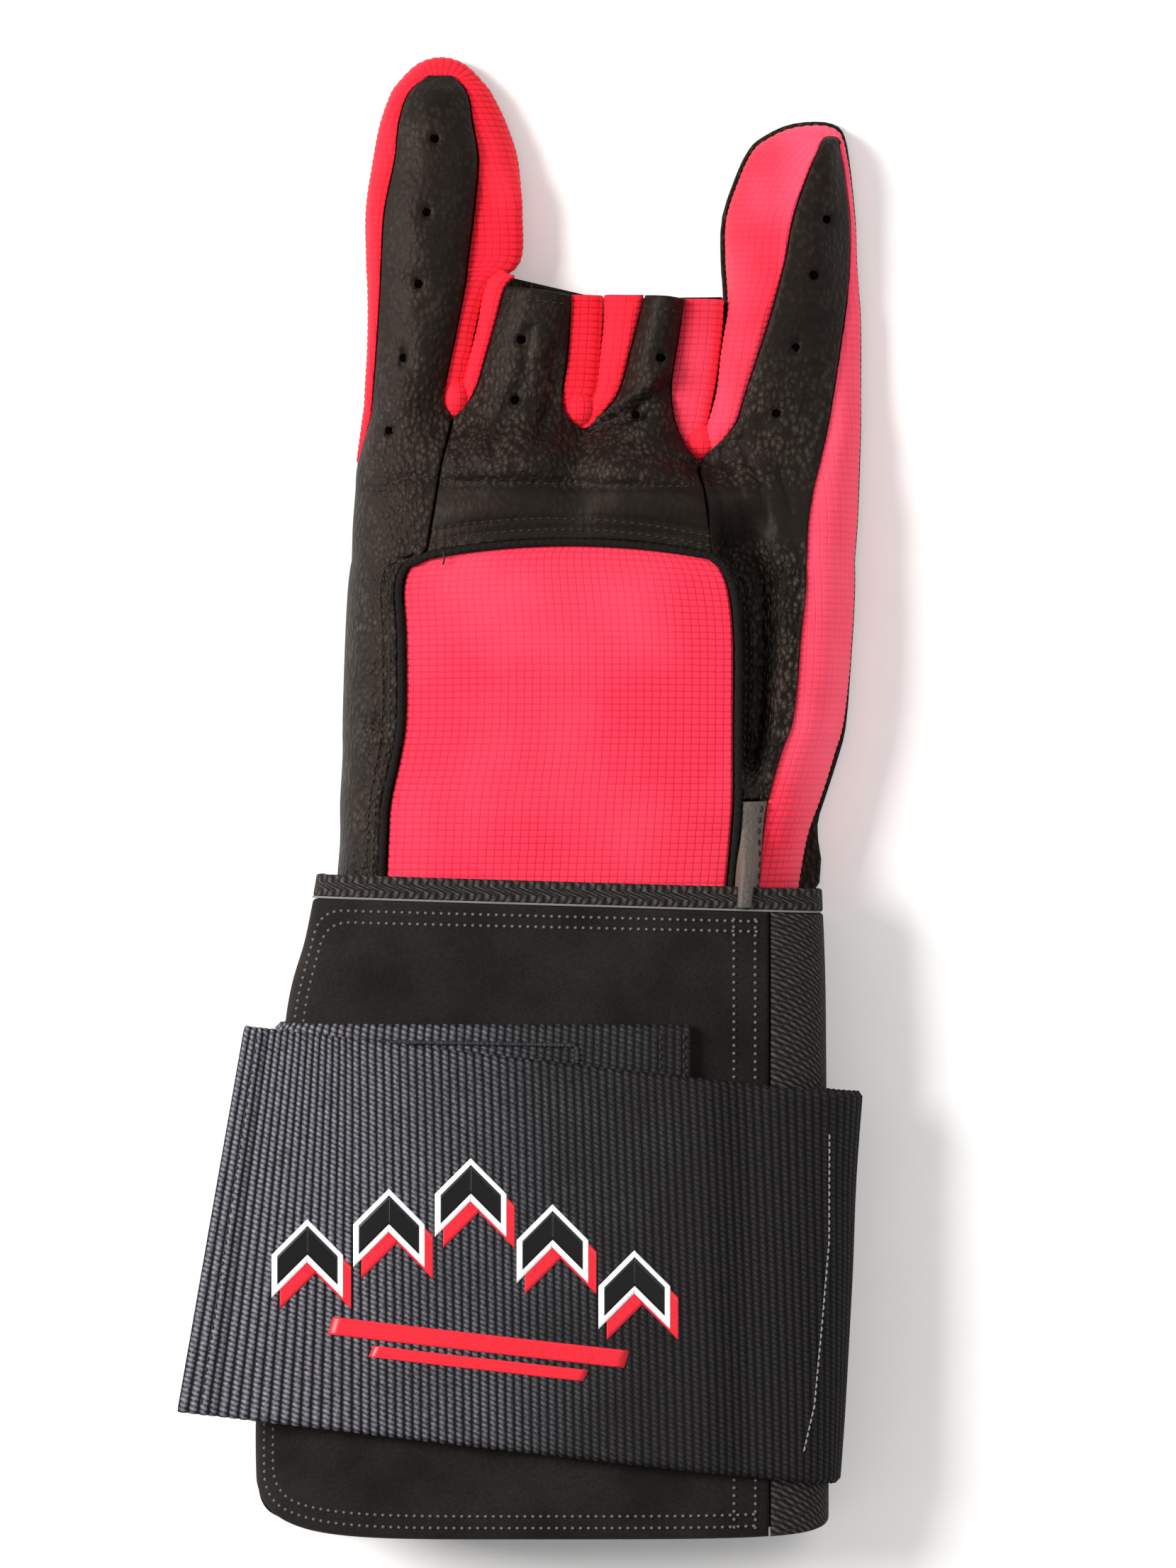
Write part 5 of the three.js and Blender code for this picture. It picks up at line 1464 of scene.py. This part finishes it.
# Woven cloth of the elastic, the band and the straps: dull yarns in raised ribs, painted dark between
# them as painted shade and light on each rib's top as a painted highlight, with a fine fuzz that breaks
# up each rib's light top
def woven_cloth(name, deep, bright, slant, relief_mm, worn=None):
    """Ribs as arches of the UV map, one unit a rib, crossed by threads that are set off by half a thread
    from rib to rib. worn is the colour of their tops toward the right side, where they are darker."""
    made, tree, shader = new_material(name)
    cloth = add_node(tree, "ShaderNodeUVMap", uv_map="cloth").outputs["UV"]
    place = add_node(tree, "ShaderNodeTexCoord").outputs["Object"]
    parts = add_node(tree, "ShaderNodeSeparateXYZ", {"Vector": cloth})
    lean = calc(tree, "MULTIPLY_ADD", parts.outputs["Y"], slant, parts.outputs["X"])
    turn = calc(tree, "MULTIPLY", lean, np.pi)
    wave = calc(tree, "SINE", turn)
    rib = calc(tree, "ABSOLUTE", wave)
    stagger = calc(tree, "MULTIPLY_ADD", parts.outputs["X"], 0.5, parts.outputs["Y"])
    cross = calc(tree, "MULTIPLY", stagger, 2 * np.pi)
    thread = calc(tree, "SINE", cross)
    thread_up = calc(tree, "MULTIPLY_ADD", thread, 0.3, 0.7)
    bead = calc(tree, "MULTIPLY", rib, thread_up)
    fuzz = add_node(tree, "ShaderNodeTexNoise", {"Vector": place, "Scale": 1800.0, "Detail": 3.0})
    rough_bead = calc(tree, "MULTIPLY", fuzz.outputs["Fac"], bead)
    painted_shade_and_speckle = add_node(tree, "ShaderNodeMapRange", {
        "Value": rough_bead, "From Min": 0.1, "From Max": 0.5})
    # The tops turn to the darker worn colour from left to right across the piece, with an uneven boundary
    across = add_node(tree, "ShaderNodeSeparateXYZ", {"Vector": place}).outputs["X"]
    patches = add_node(tree, "ShaderNodeTexNoise", {"Vector": place, "Scale": 45.0, "Detail": 3.0})
    uneven = calc(tree, "MULTIPLY_ADD", patches.outputs["Fac"], 0.05, across)
    dulled = add_node(tree, "ShaderNodeMapRange", {
        "Value": uneven, "From Min": -0.03, "From Max": 0.055}, interpolation_type="SMOOTHSTEP")
    top = blend(tree, dulled.outputs["Result"], linear(bright), linear(worn or bright))
    # The deep colour in the gaps is painted shade, and the top colour on the beads is a painted highlight
    colour = blend(tree, painted_shade_and_speckle.outputs["Result"], linear(deep), top)
    tree.links.new(colour, shader.inputs["Base Color"])
    relief = add_node(tree, "ShaderNodeBump", {
        "Strength": 0.8, "Distance": relief_mm / 1000, "Height": bead})
    tree.links.new(relief.outputs["Normal"], shader.inputs["Normal"])
    shader.inputs["Roughness"].default_value = 0.8
    shader.inputs["Specular IOR Level"].default_value = 0.15
    return made


# Twill elastic: steep diagonal ribs 1.1 mm apart, dark grey
twill = woven_cloth("twill_elastic", "#0a0908", "#46413c", slant=0.7, relief_mm=0.25)
TWILL_RIB = 1.1
elastic_surface = cuff_surface(FLOOR_RIGHT, elastic_place, panel_start)
u, v, distances = laid_grid(elastic_surface, 110, 46)
points = turned_edges(elastic_surface(u, v), distances, ["right", "start", "end"], 0.7)
cloth = np.stack([distances["start"] / TWILL_RIB, distances["left"] / TWILL_RIB], -1)
wrist_elastic = sewn_wall("wrist_elastic", [(points, cloth)], SUEDE, twill, floor=CUFF_BASE)
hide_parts("cuff_elastic")


def band_surface(u, v):
    """The band's short tube over the seam between hand and cuff."""
    return askew(cuff_ring(mix(BAND_RIGHT, BAND_LEFT, v), mix(CUFF_LAP, band_end, u)), 1)


# Herringbone band: its ribs turn back every 1.5 mm, black, with grey tops painted as the ribs' highlight
band_cloth = woven_cloth("zigzag_band", "#0b0a0a", "#463f3b", slant=1.0, relief_mm=0.3)
u, v, distances = laid_grid(band_surface, 12, 260)
points = turned_edges(band_surface(u, v), distances, ["start", "end"], 0.5)
zigzag = np.abs((distances["start"] / 1.5) % 2 - 1) * 1.4
cloth = np.stack([run_along(points) / 1.5 + zigzag, distances["start"] / 1.5], -1)
wrist_band = sewn_wall("wrist_band", [(points, cloth)], SUEDE, band_cloth, floor=CUFF_BASE)
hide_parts("cuff_band")

# The raw edge of the suede's backing, a thin grey line that shows under the band
raw_felt = waxed_thread("raw_felt_edge", "#7a766f")
edge_t = np.linspace(0.30, 0.735, 220)
edge_y = np.full_like(edge_t, band_end)
edge_path = askew(cuff_ring(edge_t, edge_y - 0.1, -0.05), 1)
edge_ups = cuff_ring(edge_t, edge_y, 1.0) - cuff_ring(edge_t, edge_y)
thin_edge = np.stack([0.22 * np.cos(around), 0.2 * np.sin(around)], -1)[None] * np.ones((len(edge_t), 1, 1))
carried_profile("raw_edge", edge_path, edge_ups, thin_edge, raw_felt)


# Under strap
# Wide polypropylene webbing that comes round the left side and lies on the panel, its end folded and
# sewn down. Its ribs run across its width, 1.7 mm apart, each a row of beads 1 mm apart.

WEBBING = 1.7
RIB = 1.7
BEAD = 1.0
UNDER_STRAP_WIDTH = 74.0
UNDER_STRAP_CENTRE = 64.0
UNDER_STRAP_REACH = 33.0


def ribs(count_along):
    """Relief of the webbing: rounded ribs across it."""
    return 0.24 * np.abs(np.sin(np.pi * count_along)) ** 0.7


# Polypropylene webbing: slightly glossy yarns, charcoal, each bead's top painted light as a highlight
# and the gaps between the beads painted dark as shade
webbing = woven_cloth("ribbed_webbing", "#0c0b0d", "#7f7c84", slant=0.0, relief_mm=0.3, worn="#2b2724")


def under_surface(u, v):
    """The cuff's ring moved out by one layer, from the underside's middle to the folded end on top."""
    y = -UNDER_STRAP_CENTRE + mix(0.5, -0.5, u) * UNDER_STRAP_WIDTH
    t = mix(top_place(np.full(np.shape(y), UNDER_STRAP_REACH), y), 1 - SEAM_IN_RING, v)
    return cuff_ring(t, y, STRAP_LAYER + 0.12 * soft_noise(t * 240, y, 16, 71))


def ribbed_strap(name, surface, long, wide, node):
    """A strap of webbing: ribs as relief, evenly spaced, with three columns a rib, and beads in the
    material."""
    count = int(round(long / RIB))
    fine = np.linspace(0, 1, 1500)
    far = run_along(surface(np.full(1500, 0.5), fine)[None])[0]
    even = np.interp(np.linspace(0, far[-1], count * 3 + 1), far, fine)
    u, v = np.meshgrid(np.linspace(0, 1, int(wide) + 1), even, indexing="ij")
    points = surface(u, v)
    distances = {"start": u * wide, "end": (1 - u) * wide}
    points = turned_edges(points, distances, ["start", "end"], 0.8)
    ribs_along = np.linspace(0, count, count * 3 + 1)[None] + 0 * u
    cloth = np.stack([ribs_along, u * wide / BEAD], -1)
    points = points + grid_normals(points) * ribs(cloth[..., 0])[..., None]
    points[..., 2] = np.maximum(points[..., 2], 0)
    made = sewn_wall(name, [(points, cloth)], WEBBING, webbing, floor=0)
    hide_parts(node)


ribbed_strap("lower_strap", under_surface, long=165, wide=UNDER_STRAP_WIDTH, node="under_strap")
hem_y = np.linspace(-28.5, -40, 30)


def strap_stitch_line(x, y, lift):
    """Points and normals of a line along the hand at one x, lifted off the cuff."""
    t = top_place(np.full(np.shape(y), x), y)
    base, out = cuff_ring(t, y, lift), cuff_ring(t, y, lift + 1)
    return base, out - base


webbing_thread = waxed_thread("webbing_thread", "#2b2a2c")
thread_stitches("lower_strap_stitches", [
    strap_stitch_line(x, hem_y, STRAP_LAYER + 0.3) for x in (31.6, 27.0)],
    pitch=1.9, thickness=0.55, material=webbing_thread)

# The frayed edge of the loop tape, a fuzzy line on the strap that ends in a short cut edge
frayed = smooth_line([(-28, -30.4), (-10, -30.6), (10.3, -31.0), (10.8, -31.8), (10.8, -34.5)], 260)
frayed_t = top_place(frayed[:, 0], frayed[:, 1])
frayed_path = cuff_ring(frayed_t, frayed[:, 1], STRAP_LAYER + 0.3)
frayed_ups = cuff_ring(frayed_t, frayed[:, 1], STRAP_LAYER + 1.3) - frayed_path
uneven = 1 + 0.45 * np.random.default_rng(91).uniform(-1, 1, (len(frayed), 1)) * np.ones(PROFILE_SIDES)
fuzzy = np.stack([0.42 * np.cos(around) * uneven, 0.34 * np.sin(around) * uneven], -1)
carried_profile("frayed_edge", frayed_path, frayed_ups, fuzzy, webbing_thread)


# Wide strap
# The closing strap of the same webbing, 76 mm wide. It comes from the underside round the right side and
# over the top, and its hemmed free end stands past the left side.

WIDE_STRAP_WIDTH = 77.0
WIDE_STRAP_REACH = 61.0
WIDE_STRAP_CENTRE = 72.0
WIDE_STRAP_SLOPE = 0.115
WIDE_STRAP_SKEW = 0.17
SIDE_SLACK = 5.0
FREE_END_SAG = 1.5
STEP_LENGTH = 10.0
RING_SHARE = 0.85
LEAVE_X = -0.32 * HAND_WIDTH
HEM_RISE = 0.7
HEM_FROM = 0.972


def wide_surface(u, v):
    """The ring moved out by one or two layers, slanting down to the right, then straight to the end."""
    w = mix(0.5, -0.5, u) * WIDE_STRAP_WIDTH

    def y_at(x):
        return -WIDE_STRAP_CENTRE + w - WIDE_STRAP_SLOPE * x

    leave = top_place(np.full(np.shape(w), LEAVE_X), y_at(LEAVE_X))
    t = mix(SEAM_IN_RING, leave, np.minimum(1, v / RING_SHARE))
    around = cuff_ring(t, y_at(0.0), STRAP_LAYER)
    step_start = UNDER_STRAP_REACH + STRAP_LAYER
    lap = np.where(t > 0.25, 1 - ramp(step_start, step_start + STEP_LENGTH, around[..., 0]), 0)
    ripple = 0.3 * soft_noise(t * 240, w, 22, 81)
    points = cuff_ring(t, y_at(around[..., 0]), STRAP_LAYER * (1 + lap) + ripple)
    points[..., 0] += SIDE_SLACK * (1 - u) * np.sin(np.pi * ramp(0.08, 0.42, t)) ** 2
    free = np.clip((v - RING_SHARE) / (1 - RING_SHARE), 0, 1)
    x = mix(points[..., 0], -WIDE_STRAP_REACH + WIDE_STRAP_SKEW * w, free)
    y = np.where(free > 0, y_at(x), points[..., 1])
    z = points[..., 2] - FREE_END_SAG * free ** 2 + HEM_RISE * ramp(HEM_FROM - 0.004, HEM_FROM + 0.002, v)
    return np.stack([x, y, z], -1)


def on_strap(x, y):
    """Points and outward unit normals on top of the strap at x and y: u follows from the slant, and v is
    found by halving its range."""
    u = 0.5 - (y + WIDE_STRAP_CENTRE + WIDE_STRAP_SLOPE * x) / WIDE_STRAP_WIDTH
    low, high = np.full(np.shape(x), 0.3), np.ones(np.shape(x))
    for _ in range(22):
        middle = (low + high) / 2
        short = wide_surface(u, middle)[..., 0] > x
        low, high = np.where(short, middle, low), np.where(short, high, middle)
    points = wide_surface(u, low)
    across = wide_surface(u + 0.01, low) - wide_surface(u - 0.01, low)
    along = wide_surface(u, np.minimum(low + 0.006, 1)) - wide_surface(u, low - 0.006)
    normals = np.cross(along, across)
    return points, normals / np.linalg.norm(normals, axis=-1, keepdims=True)


ribbed_strap("upper_strap", wide_surface, long=208, wide=WIDE_STRAP_WIDTH, node="wide_strap")
end_u = np.linspace(0.02, 0.98, 120)
thread_stitches("upper_strap_stitches", [line_on(wide_surface, end_u, np.full(120, 0.981))],
                pitch=2.1, thickness=0.6, material=webbing_thread)
pale_thread = waxed_thread("pale_thread", "#8f8d88")
side_line = smooth_line([(60.3, -48.7), (60.2, -70), (59.0, -84), (57.3, -102), (55.3, -110.5)], 80)
side_points, side_normals = on_strap(side_line[:, 0], side_line[:, 1])
thread_stitches("upper_strap_side_stitches", [(side_points + 0.25 * side_normals, side_normals)],
                pitch=1.4, thickness=0.4, material=pale_thread, cover=0.85)


# Print on the wide strap
# A transfer print of soft vinyl, pressed on the ribs: five lane arrows in black with a white rim and a
# red shadow, over two slanted red bars. It is a plain design made for this part.

def vinyl(name, colour):
    """Vinyl film: smooth and a little glossy, finely cracked where it bends."""
    made, tree, shader = new_material(name)
    place = add_node(tree, "ShaderNodeTexCoord").outputs["Object"]
    cracks = add_node(tree, "ShaderNodeTexVoronoi", {"Vector": place, "Scale": 700.0},
                      feature="DISTANCE_TO_EDGE")
    line = add_node(tree, "ShaderNodeMapRange", {"Value": cracks.outputs["Distance"], "From Max": 0.04})
    tint = blend(tree, line.outputs["Result"], darker(colour, 0.75), linear(colour))
    tree.links.new(tint, shader.inputs["Base Color"])
    shader.inputs["Roughness"].default_value = 0.32
    shader.inputs["Specular IOR Level"].default_value = 0.3
    return made


print_white, print_red = vinyl("white_vinyl", "#f2f1ee"), vinyl("red_vinyl", "#d3202e")
print_black = vinyl("black_vinyl", "#070606")
FILM_DEPTH = 0.5


def film(name, bars, lift, material):
    """Thin closed sheets that stand by lift above the strap and reach down into it. Each bar is a four-sided
    patch of corners (x, y) in mm."""
    pieces_points, pieces_faces, count = [], [], 0
    for bar in bars:
        corners = np.array(bar, float)
        a, b = np.meshgrid(np.linspace(0, 1, 9), np.linspace(0, 1, 29), indexing="ij")
        a, b = a[..., None], b[..., None]
        flat = mix(mix(corners[0], corners[1], b), mix(corners[3], corners[2], b), a)
        points, normals = on_strap(flat[..., 0], flat[..., 1])
        layers = [points + normals * h for h in (lift, lift - FILM_DEPTH)]
        rows, columns = flat.shape[:2]
        index = np.arange(rows * columns).reshape(rows, columns) + count
        lower = index + rows * columns
        rim = np.concatenate([index[0, :], index[1:, -1], index[-1, -2::-1], index[-2:0:-1, 0]])
        ahead = np.roll(rim, -1)
        top = np.stack([index[:-1, :-1], index[:-1, 1:], index[1:, 1:], index[1:, :-1]], -1).reshape(-1, 4)
        bottom = np.stack([lower[:-1, :-1], lower[1:, :-1], lower[1:, 1:], lower[:-1, 1:]], -1).reshape(-1, 4)
        sides = np.stack([rim, rim + rows * columns, ahead + rows * columns, ahead], 1)
        pieces_points += [layer.reshape(-1, 3) for layer in layers]
        pieces_faces += [top, bottom, sides]
        count += 2 * rows * columns
    finish_piece(name, np.concatenate(pieces_points), np.concatenate(pieces_faces), material)


def arrow(x, y, reach, thick):
    """Two bars at 45 degrees that meet in a point: a lane arrow. x, y is its point."""
    return [
        [(x - reach, y - reach - thick), (x, y - thick), (x, y), (x - reach, y - reach)],
        [(x, y - thick), (x + reach, y - reach - thick), (x + reach, y - reach), (x, y)]]


ARROW_PLACES = [(-42, -65), (-26, -59), (-10, -53), (6, -62), (22, -71)]
ARROW_REACH, ARROW_THICK = 7.0, 8.4
FILL_REACH, FILL_THICK = 5.9, 5.6
FILL_INSET = 1.3
SHADOW_RIGHT, SHADOW_DOWN = 1.6, 2.2
shadows, rims, fills = [], [], []
for x, y in ARROW_PLACES:
    shadows += arrow(x + SHADOW_RIGHT, y - SHADOW_DOWN, ARROW_REACH, ARROW_THICK)
    rims += arrow(x, y, ARROW_REACH, ARROW_THICK)
    fills += arrow(x, y - FILL_INSET, FILL_REACH, FILL_THICK)
film("print_shadows", shadows, 0.30, print_red)
film("print_rims", rims, 0.38, print_white)
film("print_fills", fills, 0.46, print_black)
film("print_bars", [
    [(-38, -87.5), (20, -94), (21, -90.6), (-37, -84.1)],
    [(-30, -91.9), (12, -96.6), (13, -94.4), (-29, -89.7)]], 0.36, print_red)
